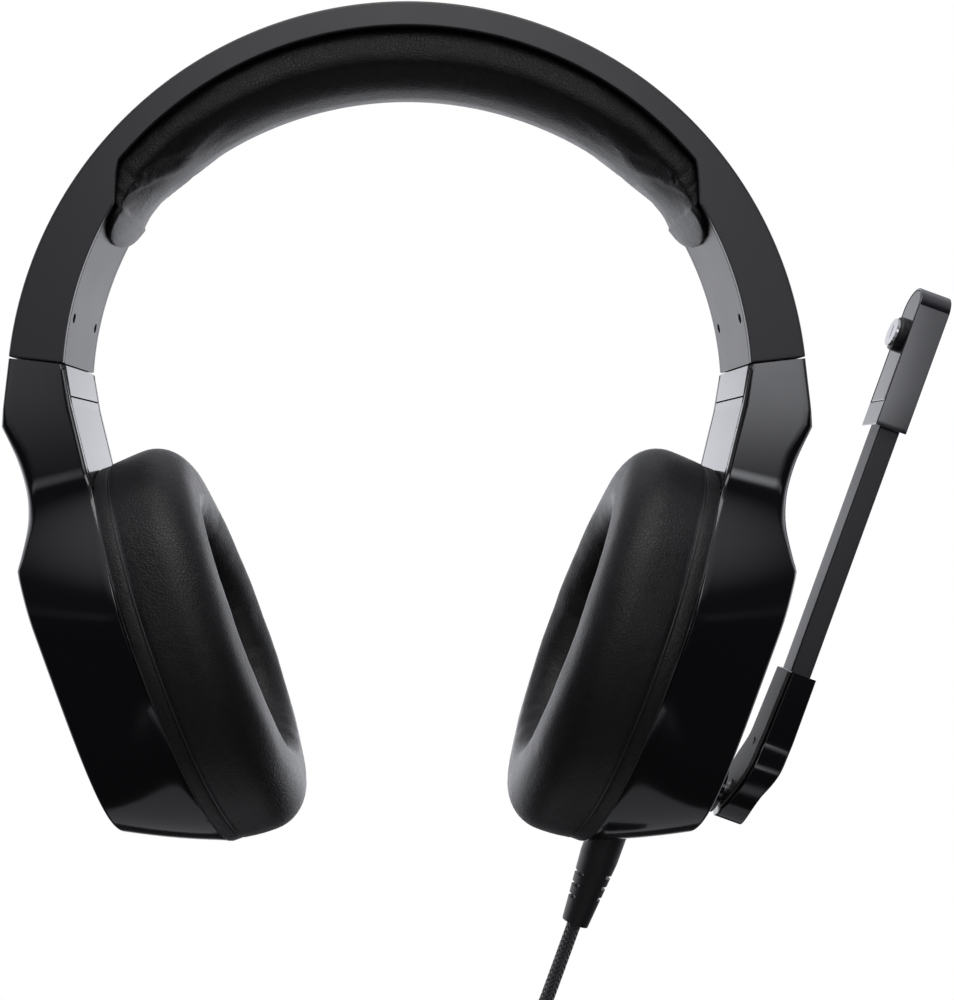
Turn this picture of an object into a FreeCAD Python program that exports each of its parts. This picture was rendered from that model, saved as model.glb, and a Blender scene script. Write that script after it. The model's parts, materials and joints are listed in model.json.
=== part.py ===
"""Gaming headset: wired, over-ear, with a swinging boom microphone on the wearer's left cup.

Frame: millimetres, +Z up, origin on the underside of the headband pad at its crown, where it rests on the
head. +X is the wearer's left, -Y is the wearer's front. The headset hangs from that point.

Two local frames are used. The cup frame has X = out through the cup's outer plate, Y = the row's Y and
Z = up along the cup, tilted by CUP_TILT. The seam frame has X = radially out from the band's centre through
the seam between band and arm, and Z = up the slider.
"""
import FreeCAD, Part
import os
from math import acos, cos, degrees, pi, radians, sin, tan

V = FreeCAD.Vector

# ---- driving dimensions ------------------------------------------------------------------------------
BAND_RADIUS = 103.0          # outside of the headband
BAND_WIDTH = 38.0
BAND_END_ANGLE = 83.5        # seam between band and arm, from the crown
PAD_CROWN_DEPTH = 20.5       # band's top to the pad's underside
CUP_TILT = 20.0              # the cups lean together towards the bottom
CUP_AXIS_DROP = 19.5         # the cup frame's origin below the band's centre
RIM_N = 76.7                 # cup rim plane, from the cup frame's origin
PLATE_N = 100.0              # cup outer plate
SLIDE_TRAVEL = 22.0          # how far each arm pulls out of the band
CORD_DIAMETER = 3.8
CORD_LENGTH = 2000.0

BAND_CENTRE_Z = PAD_CROWN_DEPTH - BAND_RADIUS
CUP_ORIGIN_Z = BAND_CENTRE_Z - CUP_AXIS_DROP
HALF_BAND = BAND_WIDTH / 2
WALL = 2.0
HALF_CHANNEL = HALF_BAND - WALL
SEAM_GAP = 0.4

# headband layers, as radii about the band's centre
SHELL_INNER = 101.2
SPRING = (100.0, 100.8)
CARRIER = (97.5, 99.5)
RIM_RADIUS = 96.7            # the shell's lip beside the pad
LIP_ANGLE = 50.0             # the lip steps inwards from here to LINER_ANGLE
LINER_ANGLE = 56.0
LINER_R = (91.0, 88.8)       # inner face of the band's ends, at LINER_ANGLE and at the seam
PAD_ANGLE = 61.5
STRIP_R = (92.0, 93.2)       # slider strip, at the seam
STRIP_HALF = 7.0
STRIP_Z = (-24.0, 34.0)
STRIP_SCREWS = [(-4.0, -17.0), (4.0, -17.0)]   # (y, z) in the seam frame
DETENT_PITCH = 3.2
GUIDE_LENGTH = 12.0
LINER_SCREW_ANGLE = 75.7
LINER_SCREW_Y = 13.0

# cup and arm, in the cup frame
CUP_U = -22.5                # middle of the ear oval
OVAL = (52.3, 41.7)          # ear oval's half height and half depth
EAR_OPENING = (30.0, 22.5)
CUSHION_N = (50.6, 73.6)
BAFFLE_N = (73.9, 76.6)
DRIVER_R = 27.0

# microphone, in the cup frame
PIVOT_U = -49.0
PIVOT_R = 3.0
BOOM_N = (113.7, 119.3)
BOOM_HALF = 4.4
HEAD_N = (111.9, 120.4)
HEAD_HALF = 6.25
HEAD_U = (56.0, 95.2)
CAPSULE_U = 81.6

# cord
RELIEF_N = 83.4
RELIEF_U = (-63.0, -78.0, -96.9)
RELIEF_R = (5.2, 3.6)
COIL_ROWS = 4                # turns out from the middle, and as many across

NODES = {}


# ---- helpers -----------------------------------------------------------------------------------------
def box(x0, x1, y0, y1, z0, z1):
    return Part.makeBox(x1 - x0, y1 - y0, z1 - z0, V(x0, y0, z0))


def rod(radius, start, end, end_radius=None):
    """A round bar from start to end, tapered when end_radius is given."""
    along = end.sub(start)
    if end_radius is None:
        return Part.makeCylinder(radius, along.Length, start, along)
    return Part.makeCone(radius, end_radius, along.Length, start, along)


def prism(half_width, start, *steps):
    """An outline in the XZ plane, extruded to half_width each side.

    A step is a point, or an arc's two points.
    """
    edges, last = [], V(start[0], -half_width, start[1])
    first = last
    for step in steps + (start,):
        arc = isinstance(step[0], tuple)
        stops = [V(x, -half_width, z) for x, z in (step if arc else (step,))]
        if arc:
            edges.append(Part.Arc(last, stops[0], stops[1]).toShape())
        elif stops[0].sub(last).Length > 1e-6:
            edges.append(Part.LineSegment(last, stops[0]).toShape())
        last = stops[-1]
    assert last.sub(first).Length < 1e-6
    return Part.Face(Part.Wire(edges)).extrude(V(0, 2 * half_width, 0))


def band_xz(radius, angle):
    return (radius * sin(radians(angle)), BAND_CENTRE_Z + radius * cos(radians(angle)))


def band_arc(radius_at, start, end):
    """The two points that carry an arc on from start to end, while its radius changes slowly."""
    middle = (start + end) / 2
    return (band_xz(radius_at(middle), middle), band_xz(radius_at(end), end))


def wedge(inner_at, outer_at, start, end, half_width):
    """Part of the band between two radii and two angles."""
    return prism(
        half_width,
        band_xz(outer_at(start), start),
        band_arc(outer_at, start, end),
        band_xz(inner_at(end), end),
        band_arc(inner_at, end, start),
    )


def at(radius):
    return lambda angle: radius


def liner_face(offset):
    """Radius of the ends' inner face, and of faces parallel to it."""
    def radius(angle):
        share = (abs(angle) - LINER_ANGLE) / (BAND_END_ANGLE - LINER_ANGLE)
        return LINER_R[0] + (LINER_R[1] - LINER_R[0]) * share + offset
    return radius


def from_seam_frame(shape):
    shape = shape.copy()
    shape.rotate(V(0, 0, 0), V(0, 1, 0), BAND_END_ANGLE - 90)
    shape.translate(V(0, 0, BAND_CENTRE_Z))
    return shape


def from_cup_frame(shape):
    shape = shape.copy()
    shape.rotate(V(0, 0, 0), V(0, 1, 0), CUP_TILT)
    shape.translate(V(0, 0, CUP_ORIGIN_Z))
    return shape


def to_cup_frame(shape):
    shape = shape.copy()
    shape.translate(V(0, 0, -CUP_ORIGIN_Z))
    shape.rotate(V(0, 0, 0), V(0, 1, 0), -CUP_TILT)
    return shape


def seam_in_cup_frame(radius, height=-SEAM_GAP):
    """A point of the seam's plane, or of one parallel to it, in the cup frame."""
    point = to_cup_frame(from_seam_frame(Part.Vertex(radius, 0, height))).Point
    return (point.x, point.z)


def mirrored(shape):
    return shape.mirror(V(0, 0, 0), V(1, 0, 0))


def both_sides(name, shape):
    NODES[name + "_left"] = shape
    NODES[name + "_right"] = mirrored(shape)


def oval_bar(n0, n1, half_u, half_y):
    """A bar of the ear oval's form along the cup's axis."""
    ellipse = Part.Ellipse(V(n0, 0, CUP_U + half_u), V(n0, half_y, CUP_U), V(n0, 0, CUP_U))
    return Part.Face(Part.Wire(ellipse.toShape())).extrude(V(n1 - n0, 0, 0))


def edges_where(shape, test):
    """The edges whose middle and ends all pass the test."""
    found = []
    for edge in shape.Edges:
        first, last = edge.FirstParameter, edge.LastParameter
        if all(test(edge.valueAt(first + (last - first) * share)) for share in (0.0, 0.3, 0.5, 0.8, 1.0)):
            found.append(edge)
    return found


# ---- headband ----------------------------------------------------------------------------------------
def headband_shell():
    """Channel of moulded plastic: shallow beside the pad, deep at its ends."""
    outline = prism(
        HALF_BAND,
        band_xz(BAND_RADIUS, -BAND_END_ANGLE),
        band_arc(at(BAND_RADIUS), -BAND_END_ANGLE, BAND_END_ANGLE),
        band_xz(LINER_R[1], BAND_END_ANGLE),
        band_arc(liner_face(0), BAND_END_ANGLE, LINER_ANGLE),
        band_xz(RIM_RADIUS, LIP_ANGLE),
        band_arc(at(RIM_RADIUS), LIP_ANGLE, -LIP_ANGLE),
        band_xz(LINER_R[0], -LINER_ANGLE),
        band_arc(liner_face(0), -LINER_ANGLE, -BAND_END_ANGLE),
    )
    rims = edges_where(
        outline,
        lambda p: abs(abs(p.y) - HALF_BAND) < 0.01
        and abs(p.distanceToPoint(V(0, p.y, BAND_CENTRE_Z)) - BAND_RADIUS) < 0.01,
    )
    outline = outline.makeChamfer(0.6, rims)
    end = BAND_END_ANGLE + 2
    return outline.cut(wedge(at(70), at(SHELL_INNER), -end, end, HALF_CHANNEL))


def liner():
    """Inner cover of the band's end, with two screw holes."""
    plate = wedge(liner_face(0), liner_face(2), LINER_ANGLE + 0.4, BAND_END_ANGLE, HALF_CHANNEL - 0.1)
    for screw in liner_screw_axes():
        plate = plate.cut(rod(1.3, screw(-3), screw(8)))
    return plate


def liner_screw_axes():
    """Each as a function from the distance outwards from the liner's face to a point on the screw's axis."""
    face = liner_face(0)(LINER_SCREW_ANGLE)

    def axis(y):
        def point(out):
            x, z = band_xz(face + out, LINER_SCREW_ANGLE)
            return V(x, y, z)
        return point
    return [axis(-LINER_SCREW_Y), axis(LINER_SCREW_Y)]


def liner_screws():
    """Four pan-head screws, heads sunk below the liners' faces."""
    screws = []
    for screw in liner_screw_axes():
        one = rod(1.25, screw(1.0), screw(2.2)).fuse(rod(0.7, screw(2.2), screw(7.5)))
        screws += [one, mirrored(one)]
    return Part.makeCompound(screws)


def slider_guide():
    """Block that fills the band's end, with the slot that the slider strip runs in."""
    angle = degrees(GUIDE_LENGTH / STRIP_R[0])
    block = wedge(
        liner_face(2.05), at(SHELL_INNER - 0.1), BAND_END_ANGLE - angle, BAND_END_ANGLE, HALF_CHANNEL - 0.2
    )
    slot = box(STRIP_R[0] - 0.12, STRIP_R[1] + 0.12, -STRIP_HALF - 0.2, STRIP_HALF + 0.2, -5, 30)
    pocket = box(STRIP_R[1], STRIP_R[1] + 2.2, -3.4, 3.4, 1.6, 10.4)
    block = block.cut(from_seam_frame(slot.fuse(pocket)))
    for screw in liner_screw_axes():
        block = block.cut(rod(1.3, screw(-1), screw(2.2))).cut(rod(0.7, screw(2), screw(7.5)))
    return block


def detent_spring():
    """Bowed steel leaf whose crest rides over the strip's holes."""
    low, high = STRIP_R[1] + 0.2, STRIP_R[1] + 1.2
    leaf = prism(
        3.0, (high, 2.0), ((low, 6.0), (high, 10.0)), (high + 0.3, 10.0),
        ((low + 0.3, 6.0), (high + 0.3, 2.0)),
    )
    return from_seam_frame(leaf)


def headband_pad():
    """Foam pad: a crescent that is thickest at the crown and tapers into the band's ends."""
    tip_x, tip_z = band_xz(88.4, PAD_ANGLE)
    half = HALF_CHANNEL - 0.5
    crescent = prism(
        half,
        band_xz(CARRIER[0] - 0.1, -LIP_ANGLE),
        band_arc(at(CARRIER[0] - 0.1), -LIP_ANGLE, LIP_ANGLE),
        band_xz(LINER_R[0] - 0.3, LINER_ANGLE - 0.5),
        band_arc(liner_face(-0.3), LINER_ANGLE - 0.5, PAD_ANGLE),
        (tip_x, tip_z),
        ((0.0, 0.0), (-tip_x, tip_z)),
        band_xz(liner_face(-0.3)(PAD_ANGLE), -PAD_ANGLE),
        band_arc(liner_face(-0.3), -PAD_ANGLE, -LINER_ANGLE + 0.5),
    )
    lower = edges_where(
        crescent,
        lambda p: abs(abs(p.y) - half) < 0.01
        and p.distanceToPoint(V(0, p.y, BAND_CENTRE_Z)) < 88.5
        and abs(p.x) <= tip_x + 0.1,
    )
    return crescent.makeFillet(2.2, lower)


def headband_wire():
    """Cross wire from cup to cup, along the channel above the pad."""
    radius, y, half_angle = 100.4, 12.5, 70.0
    x, z = band_xz(radius, -half_angle)
    along = V(cos(radians(half_angle)), 0, sin(radians(half_angle)))
    section = Part.Face(Part.Wire(Part.Circle(V(x, y, z), along, 0.6).toShape()))
    return section.revolve(V(0, 0, BAND_CENTRE_Z), V(0, 1, 0), 2 * half_angle)


def build_headband():
    NODES["headband_shell"] = headband_shell()
    both_sides("headband_liner", liner())
    NODES["liner_screws"] = liner_screws()
    NODES["spring_band"] = wedge(at(SPRING[0]), at(SPRING[1]), -73.0, 73.0, 8.0)
    NODES["pad_carrier"] = wedge(at(CARRIER[0]), at(CARRIER[1]), -LIP_ANGLE, LIP_ANGLE, HALF_CHANNEL - 0.2)
    NODES["headband_pad"] = headband_pad()
    both_sides("slider_guide", slider_guide())
    both_sides("detent_spring", detent_spring())
    NODES["headband_wire"] = headband_wire()


# ---- arm and cup -------------------------------------------------------------------------------------
ARM_TOP_U = 80.0
SCREW_POSTS = [(-3.0, 28.0), (-3.0, -28.0), (-48.0, 24.0), (-48.0, -24.0)]   # (u, y)


def cup_outline(n, inset):
    """The arm-and-cup outline at one distance out: straight arm, S-shaped shoulder and a rounded lower part
    that goes from an ellipse at the rim to a squarer superellipse at the outer plate."""
    share = (n - RIM_N) / (PLATE_N - RIM_N)
    arm = HALF_BAND - inset
    widest = 42.0 - 10.5 * share - inset
    shoulder, waist = 30.0 + 3 * share, -12.0 + 8 * share
    reach = waist - (-75.0 + 13.6 * share) - inset
    power = 2.0 + 2.2 * share

    def side(sign):
        third = (shoulder - waist) / 3
        curve = Part.BezierCurve()
        curve.setPoles([
            V(n, sign * arm, shoulder), V(n, sign * arm, shoulder - third),
            V(n, sign * widest, waist + third), V(n, sign * widest, waist),
        ])
        return [Part.LineSegment(V(n, sign * arm, ARM_TOP_U), V(n, sign * arm, shoulder)).toShape(),
                curve.toShape()]

    lower = []
    for step in range(-6, 7):
        turn = radians(15 * step)
        size = (abs(cos(turn)) ** power + abs(sin(turn)) ** power) ** (-1 / power)
        lower.append(V(n, widest * size * sin(turn), waist - reach * size * cos(turn)))
    bottom = Part.BSplineCurve()
    bottom.interpolate(Points=lower, InitialTangent=V(0, 0, -1), FinalTangent=V(0, 0, 1))
    left, right = side(-1), side(1)
    top = Part.LineSegment(V(n, arm, ARM_TOP_U), V(n, -arm, ARM_TOP_U)).toShape()
    return Part.Wire([top] + left + [bottom.toShape()] + right[::-1])


def cup_loft(inset, n_end):
    """The outlines from the rim outwards, with the arm's straight part carried inwards of the rim."""
    steps = 5
    levels = [RIM_N + (n_end - RIM_N) * step / steps for step in range(steps + 1)]
    body = Part.makeLoft([cup_outline(n, inset) for n in levels], True, False)
    return body.fuse(box(60, RIM_N + 0.5, inset - HALF_BAND, HALF_BAND - inset, 30.2, ARM_TOP_U))


def side_profile(wall, half_width):
    """The arm and cup seen from the front, from the seam down, inwards of the outer surface by wall."""
    seam_out = seam_in_cup_frame(BAND_RADIUS - wall, -SEAM_GAP - wall)
    seam_in = seam_in_cup_frame(88.5, -SEAM_GAP - wall)
    return prism(
        half_width,
        seam_out,
        (92.9 - 1.1 * wall, 48.3 - 0.4 * wall),
        ((93.4 - wall, 28.0), (98.9 - wall, 12.0)),
        ((99.8 - wall, 9.0), (PLATE_N - wall, 5.0)),
        (PLATE_N - wall, -80.0),
        (RIM_N, -80.0),
        (RIM_N, 29.0),
        (74.7, 47.0),
        seam_in,
    )


def outer_edges(solid):
    """The edges between the outer face and the two side walls, except at the seam."""
    seam_n, seam_u = seam_in_cup_frame(BAND_RADIUS)
    skin = side_profile(0.0, 60.0).Shells[0]

    def on_outer_face(p):
        return skin.distToShape(Part.Vertex(p.x, 0, p.z))[0] < 0.05
    return edges_where(
        solid, lambda p: abs(p.y) > 5 and seam_n - 0.3 < p.x and p.z < seam_u + 0.01 and on_outer_face(p)
    )


def arm_housing():
    """Arm and cup in one moulding: hollow, open on the ear's side, with posts inside."""
    outside = cup_loft(0.0, PLATE_N + 2).common(side_profile(0.0, 60.0))
    outside = outside.makeFillet(1.6, outer_edges(outside))
    hollow = cup_loft(WALL, PLATE_N + 2).common(
        side_profile(WALL, 60.0).fuse(box(60, RIM_N + 4, -60, 60, -80, 50))
    )
    shell = outside.cut(hollow)
    for u, y in SCREW_POSTS:
        post = rod(3.0, V(RIM_N, y, u), V(PLATE_N - 1, y, u))
        shell = shell.fuse(post.cut(rod(1.0, V(RIM_N - 1, y, u), V(RIM_N + 12, y, u))))
    for y, z in STRIP_SCREWS:
        post = rod(2.4, V(STRIP_R[1], y, z), V(99.5, y, z)).cut(rod(0.9, V(STRIP_R[1], y, z), V(97.5, y, z)))
        shell = shell.fuse(to_cup_frame(from_seam_frame(post)))
    slot = box(STRIP_R[0] - 0.05, STRIP_R[1] + 0.05, -STRIP_HALF - 0.05, STRIP_HALF + 0.05, -4, 2)
    return shell.cut(to_cup_frame(from_seam_frame(slot))).cut(cover_slab(HALF_CHANNEL))


def cover_slab(half_width):
    """The layer between the arm's walls on the ear's side."""
    thick = 1.8
    return prism(
        half_width, (RIM_N, 29.0), (74.7, 47.0), seam_in_cup_frame(88.5), seam_in_cup_frame(88.5 + thick),
        (74.7 + thick, 47.0), (RIM_N + thick, 29.0),
    )


def arm_cover(u_low, u_high):
    return cover_slab(HALF_CHANNEL - 0.15).common(box(60, 90, -30, 30, u_low, u_high))


def slider_strip():
    """Steel strip with a row of detent holes over the slider's travel, fixed in the arm."""
    strip = box(STRIP_R[0], STRIP_R[1], -STRIP_HALF, STRIP_HALF, *STRIP_Z)
    corners = edges_where(strip, lambda p: abs(abs(p.y) - STRIP_HALF) < 0.01 and p.z > STRIP_Z[1] - 0.01)
    strip = strip.makeFillet(3.0, corners)
    detents = [(0.0, 6.0 + DETENT_PITCH * step) for step in range(2 + int(SLIDE_TRAVEL / DETENT_PITCH))]
    for y, z in detents + STRIP_SCREWS:
        strip = strip.cut(rod(0.9, V(STRIP_R[0] - 1, y, z), V(STRIP_R[1] + 1, y, z)))
    return from_seam_frame(strip)


def slider_screws():
    screws = []
    for y, z in STRIP_SCREWS:
        head = rod(1.8, V(STRIP_R[0] - 1.4, y, z), V(STRIP_R[0], y, z))
        screws.append(head.fuse(rod(0.9, V(STRIP_R[0], y, z), V(97.0, y, z))))
    return from_seam_frame(Part.makeCompound(screws))


def baffle():
    """Plate across the rim: the dark ring seen above the cushion, with the driver's hole."""
    plate = oval_bar(BAFFLE_N[0], BAFFLE_N[1], *OVAL)
    plate = plate.cut(rod(21.0, V(70, 0, CUP_U), V(80, 0, CUP_U)))
    for u, y in SCREW_POSTS:
        plate = plate.cut(rod(1.0, V(70, y, u), V(80, y, u)))
        plate = plate.cut(rod(2.0, V(70, y, u), V(BAFFLE_N[0] + 1.4, y, u)))
    return plate


def baffle_screws():
    screws = []
    for u, y in SCREW_POSTS:
        head = rod(2.0, V(BAFFLE_N[0] + 0.1, y, u), V(BAFFLE_N[0] + 1.4, y, u))
        screws.append(head.fuse(rod(1.0, V(BAFFLE_N[0] + 1.4, y, u), V(RIM_N + 11.5, y, u))))
    return Part.makeCompound(screws)


def axial(radius, n0, n1):
    """A disc or bar on the driver's axis."""
    return rod(radius, V(n0, 0, CUP_U), V(n1, 0, CUP_U))


def driver_frame():
    frame = axial(DRIVER_R, RIM_N, RIM_N + 2.3).fuse(axial(23.0, RIM_N + 2.3, RIM_N + 6.5))
    frame = frame.cut(axial(21.0, RIM_N, RIM_N + 5.0)).cut(axial(16.0, RIM_N + 5.0, RIM_N + 6.5))
    for step in range(6):
        turn = radians(60 * step)
        port = rod(1.4, V(RIM_N + 4, 18.5 * cos(turn), CUP_U + 18.5 * sin(turn)),
                   V(RIM_N + 8, 18.5 * cos(turn), CUP_U + 18.5 * sin(turn)))
        frame = frame.cut(port)
    return frame


def driver_diaphragm():
    """Thin cone with a raised dome in the middle."""
    dome_r, rise = 9.0, 2.4
    ball = (dome_r ** 2 + rise ** 2) / (2 * rise)
    centre = V(RIM_N + 1.2 - rise + ball, 0, CUP_U)
    dome = Part.makeSphere(ball, centre).cut(Part.makeSphere(ball - 0.4, centre))
    dome = dome.common(axial(dome_r, RIM_N - 3, RIM_N + 1.3))
    return axial(20.9, RIM_N + 1.2, RIM_N + 1.6).cut(axial(dome_r - 0.6, RIM_N, RIM_N + 3)).fuse(dome)


def ear_cushion():
    """Soft ring round the ear: full sections, a flat skirt at its base and a recess for its mounting ring."""
    ring = oval_bar(CUSHION_N[0], CUSHION_N[1], *OVAL)
    ring = ring.cut(oval_bar(40, 80, *EAR_OPENING))
    crown = edges_where(ring, lambda p: p.x < CUSHION_N[0] + 0.01)
    ring = ring.makeFillet(8.5, crown)
    return ring.cut(oval_bar(71.8, 80, 49.0, 38.5))


def build_cups():
    cup = {
        "arm_housing": arm_housing(),
        "arm_cover_upper": arm_cover(49.7, 80.0),
        "arm_cover_lower": arm_cover(30.7, 49.3),
        "baffle": baffle(),
        "baffle_screws": baffle_screws(),
        "driver_frame": driver_frame(),
        "driver_magnet": axial(16.0, RIM_N + 5.0, RIM_N + 13.0),
        "driver_diaphragm": driver_diaphragm(),
        "speaker_mesh": oval_bar(73.0, 73.8, 33.0, 25.0),
        "cushion_ring": oval_bar(71.9, 73.6, 48.9, 38.4).cut(oval_bar(60, 80, 34.0, 26.0)),
        "ear_cushion": ear_cushion(),
    }
    for name, shape in cup.items():
        if name == "arm_housing":
            NODES[name + "_left"] = from_cup_frame(cord_side_housing(shape))
            NODES[name + "_right"] = mirrored(from_cup_frame(shape))
        else:
            both_sides(name, from_cup_frame(shape))
    both_sides("slider_strip", slider_strip())
    both_sides("slider_screws", slider_screws())


def cord_side_housing(shell):
    """The wearer's left cup also has the cord's hole and the microphone pin's hole."""
    cord_hole = rod(RELIEF_R[0] + 0.05, V(RELIEF_N, 0, -90), V(RELIEF_N, 0, -62))
    return shell.cut(cord_hole).cut(rod(PIVOT_R, V(90, 0, PIVOT_U), V(110, 0, PIVOT_U)))


def audio_board():
    board = box(90.0, 91.2, -16, 16, -40, -4)
    for y in (-8.0, 0.0, 8.0):
        board = board.fuse(box(91.2, 92.4, y - 2.5, y + 2.5, -22, -14))
    return board


# ---- microphone --------------------------------------------------------------------------------------
HINGE_TOP_U = -13.4
HINGE_FOOT_U = -57.0
HUB_N = 107.4                # foot of the hinge arm on its washer
HINGE_COVER = 1.0            # thickness of the inner cover
HINGE_SCREW_U = -35.0
HINGE_SEAT_N = 112.1         # the screw's head is sunk into the cover down to here


def hinge_side(inner_shift, half_width):
    """The hinge arm seen from the front: straight socket, then bent in towards the pivot."""
    return prism(
        half_width,
        (120.5, HINGE_TOP_U),
        (120.5, -31.0),
        ((119.5, -39.5), (117.2, -46.5)),
        ((116.3, -51.0), (116.1, HINGE_FOOT_U)),
        (107.6 + inner_shift, HINGE_FOOT_U),
        (107.6 + inner_shift, -54.0),
        ((110.2 + inner_shift, -43.5), (111.9 + inner_shift, -32.4)),
        (112.6 + inner_shift, HINGE_TOP_U),
    )


def hinge_plan(half_width, bulge):
    """The hinge arm seen from the cup's side: narrow above, a rounded foot below. It is a bar along n."""
    n, u_narrow, u_wide = 95.0, -33.0, -41.0

    def side(sign):
        curve = Part.BezierCurve()
        curve.setPoles([
            V(n, sign * half_width, u_narrow), V(n, sign * half_width, u_narrow - 4.0),
            V(n, sign * bulge, u_wide + 3.5), V(n, sign * bulge, u_wide),
        ])
        top = Part.LineSegment(V(n, sign * half_width, HINGE_TOP_U), V(n, sign * half_width, u_narrow))
        return [top.toShape(), curve.toShape()]

    ellipse = Part.Ellipse(V(n, 0, HINGE_FOOT_U), V(n, bulge, u_wide), V(n, 0, u_wide))
    foot = Part.ArcOfEllipse(ellipse, -pi / 2, pi / 2).toShape()
    top = Part.LineSegment(V(n, half_width, HINGE_TOP_U), V(n, -half_width, HINGE_TOP_U)).toShape()
    edges = side(-1) + side(1) + [foot, top]
    return Part.Face(Part.Wire(Part.__sortEdges__(edges))).extrude(V(30, 0, 0))


def boom_space(grow, u0, u1):
    return box(BOOM_N[0] - grow, BOOM_N[1] + grow, -BOOM_HALF - grow, BOOM_HALF + grow, u0, u1)


def hinge_arm():
    body = hinge_side(HINGE_COVER, 12.0).common(hinge_plan(6.1, 8.0))
    hub = rod(7.2, V(HUB_N, 0, PIVOT_U), V(112, 0, PIVOT_U))
    body = body.fuse(hub).cut(boom_space(0.0, -25.5, 0))
    body = body.cut(rod(PIVOT_R + 0.05, V(100, 0, PIVOT_U), V(113, 0, PIVOT_U)))
    return body.cut(rod(0.8, V(100, 0, HINGE_SCREW_U), V(117, 0, HINGE_SCREW_U)))


def hinge_cover():
    """Thin inner cover of the hinge arm, held by one screw."""
    slab = hinge_side(0.0, 12.0).cut(hinge_side(HINGE_COVER - 0.05, 12.0)).common(hinge_plan(5.8, 7.6))
    slab = slab.common(box(90, 130, -20, 20, -41.4, HINGE_TOP_U - 0.1))
    return slab.cut(rod(1.55, V(100, 0, HINGE_SCREW_U), V(HINGE_SEAT_N, 0, HINGE_SCREW_U))).cut(
        rod(0.8, V(100, 0, HINGE_SCREW_U), V(117, 0, HINGE_SCREW_U)))


def hinge_screw():
    head = rod(1.5, V(HINGE_SEAT_N - 0.6, 0, HINGE_SCREW_U), V(HINGE_SEAT_N, 0, HINGE_SCREW_U))
    return head.fuse(rod(0.8, V(HINGE_SEAT_N, 0, HINGE_SCREW_U), V(116.5, 0, HINGE_SCREW_U)))


def boom_tube():
    """Hollow bar from the hinge arm to the head."""
    bar = boom_space(0.0, -25.4, 68.0)
    bar = bar.makeFillet(0.6, edges_where(bar, lambda p: abs(abs(p.y) - BOOM_HALF) < 0.01 and p.x in BOOM_N))
    return bar.cut(boom_space(-1.2, -30.0, 70.0))


def head_bar(n0, n1, inset, u_low):
    """The head's form, round at its top end."""
    half, top = HEAD_HALF - inset, HEAD_U[1] - inset
    straight = box(n0, n1, -half, half, u_low, top - half)
    return straight.fuse(rod(half, V(n0, 0, top - half), V(n1, 0, top - half))).removeSplitter()


def head_housing():
    shell = head_bar(HEAD_N[0], HEAD_N[1], 0.0, HEAD_U[0])
    cover = head_bar(HEAD_N[0] - 1, HEAD_N[0] + 1.3, 0.6, HEAD_U[0] + 6.7)
    hollow = head_bar(HEAD_N[0] + 1.3, HEAD_N[1] - 1.3, 1.3, 69.0)
    return shell.cut(cover).cut(hollow).cut(boom_space(0.0, 50.0, 69.0))


def head_cover():
    """Inner cover of the head, with the capsule's hole."""
    plate = head_bar(HEAD_N[0], HEAD_N[0] + 1.2, 0.7, HEAD_U[0] + 6.8)
    return plate.cut(rod(3.6, V(100, 0, CAPSULE_U), V(120, 0, CAPSULE_U)))


def capsule_ring():
    """Rubber ring round the capsule, standing proud of the cover."""
    ring = rod(4.7, V(109.8, 0, CAPSULE_U), V(HEAD_N[0], 0, CAPSULE_U))
    ring = ring.makeFillet(0.8, edges_where(ring, lambda p: p.x < 109.81))
    ring = ring.fuse(rod(3.55, V(HEAD_N[0], 0, CAPSULE_U), V(HEAD_N[0] + 2.4, 0, CAPSULE_U)))
    return ring.cut(rod(3.0, V(100, 0, CAPSULE_U), V(120, 0, CAPSULE_U)))


def capsule():
    """The can, with a wider cap that lies on the rubber ring and has the sound slot."""
    can = rod(3.0, V(109.8, 0, CAPSULE_U), V(115.0, 0, CAPSULE_U))
    can = can.fuse(rod(3.85, V(109.1, 0, CAPSULE_U), V(109.8, 0, CAPSULE_U)))
    return can.cut(box(108, 109.6, -0.3, 0.3, CAPSULE_U - 1.8, CAPSULE_U + 1.8))


def build_microphone():
    microphone = {
        "mic_pivot_boss": rod(7.5, V(PLATE_N, 0, PIVOT_U), V(HUB_N - 0.4, 0, PIVOT_U)).cut(
            rod(PIVOT_R, V(90, 0, PIVOT_U), V(110, 0, PIVOT_U))),
        "mic_pivot_pin": rod(PIVOT_R, V(96.0, 0, PIVOT_U), V(112.6, 0, PIVOT_U)),
        "mic_pivot_washer": rod(6.0, V(HUB_N - 0.4, 0, PIVOT_U), V(HUB_N - 0.05, 0, PIVOT_U)).cut(
            rod(PIVOT_R, V(90, 0, PIVOT_U), V(110, 0, PIVOT_U))),
        "mic_hinge_arm": hinge_arm(),
        "mic_hinge_cover": hinge_cover(),
        "mic_hinge_screw": hinge_screw(),
        "mic_boom_tube": boom_tube(),
        "mic_head_housing": head_housing(),
        "mic_head_cover": head_cover(),
        "mic_capsule_ring": capsule_ring(),
        "mic_capsule": capsule(),
        "audio_board": audio_board(),
    }
    for name, shape in microphone.items():
        NODES[name] = from_cup_frame(shape)


# ---- cord --------------------------------------------------------------------------------------------
ROUTE = [                    # from the strain relief to the first turn of the coil
    (45.14, 0.0, -221.57), (40.7, 0.0, -233.8), (35.6, -0.8, -247.3), (27.5, -5.7, -257.5),
]
COIL_START = 135.0           # where the cord joins the first turn, from +X towards +Z


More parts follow.
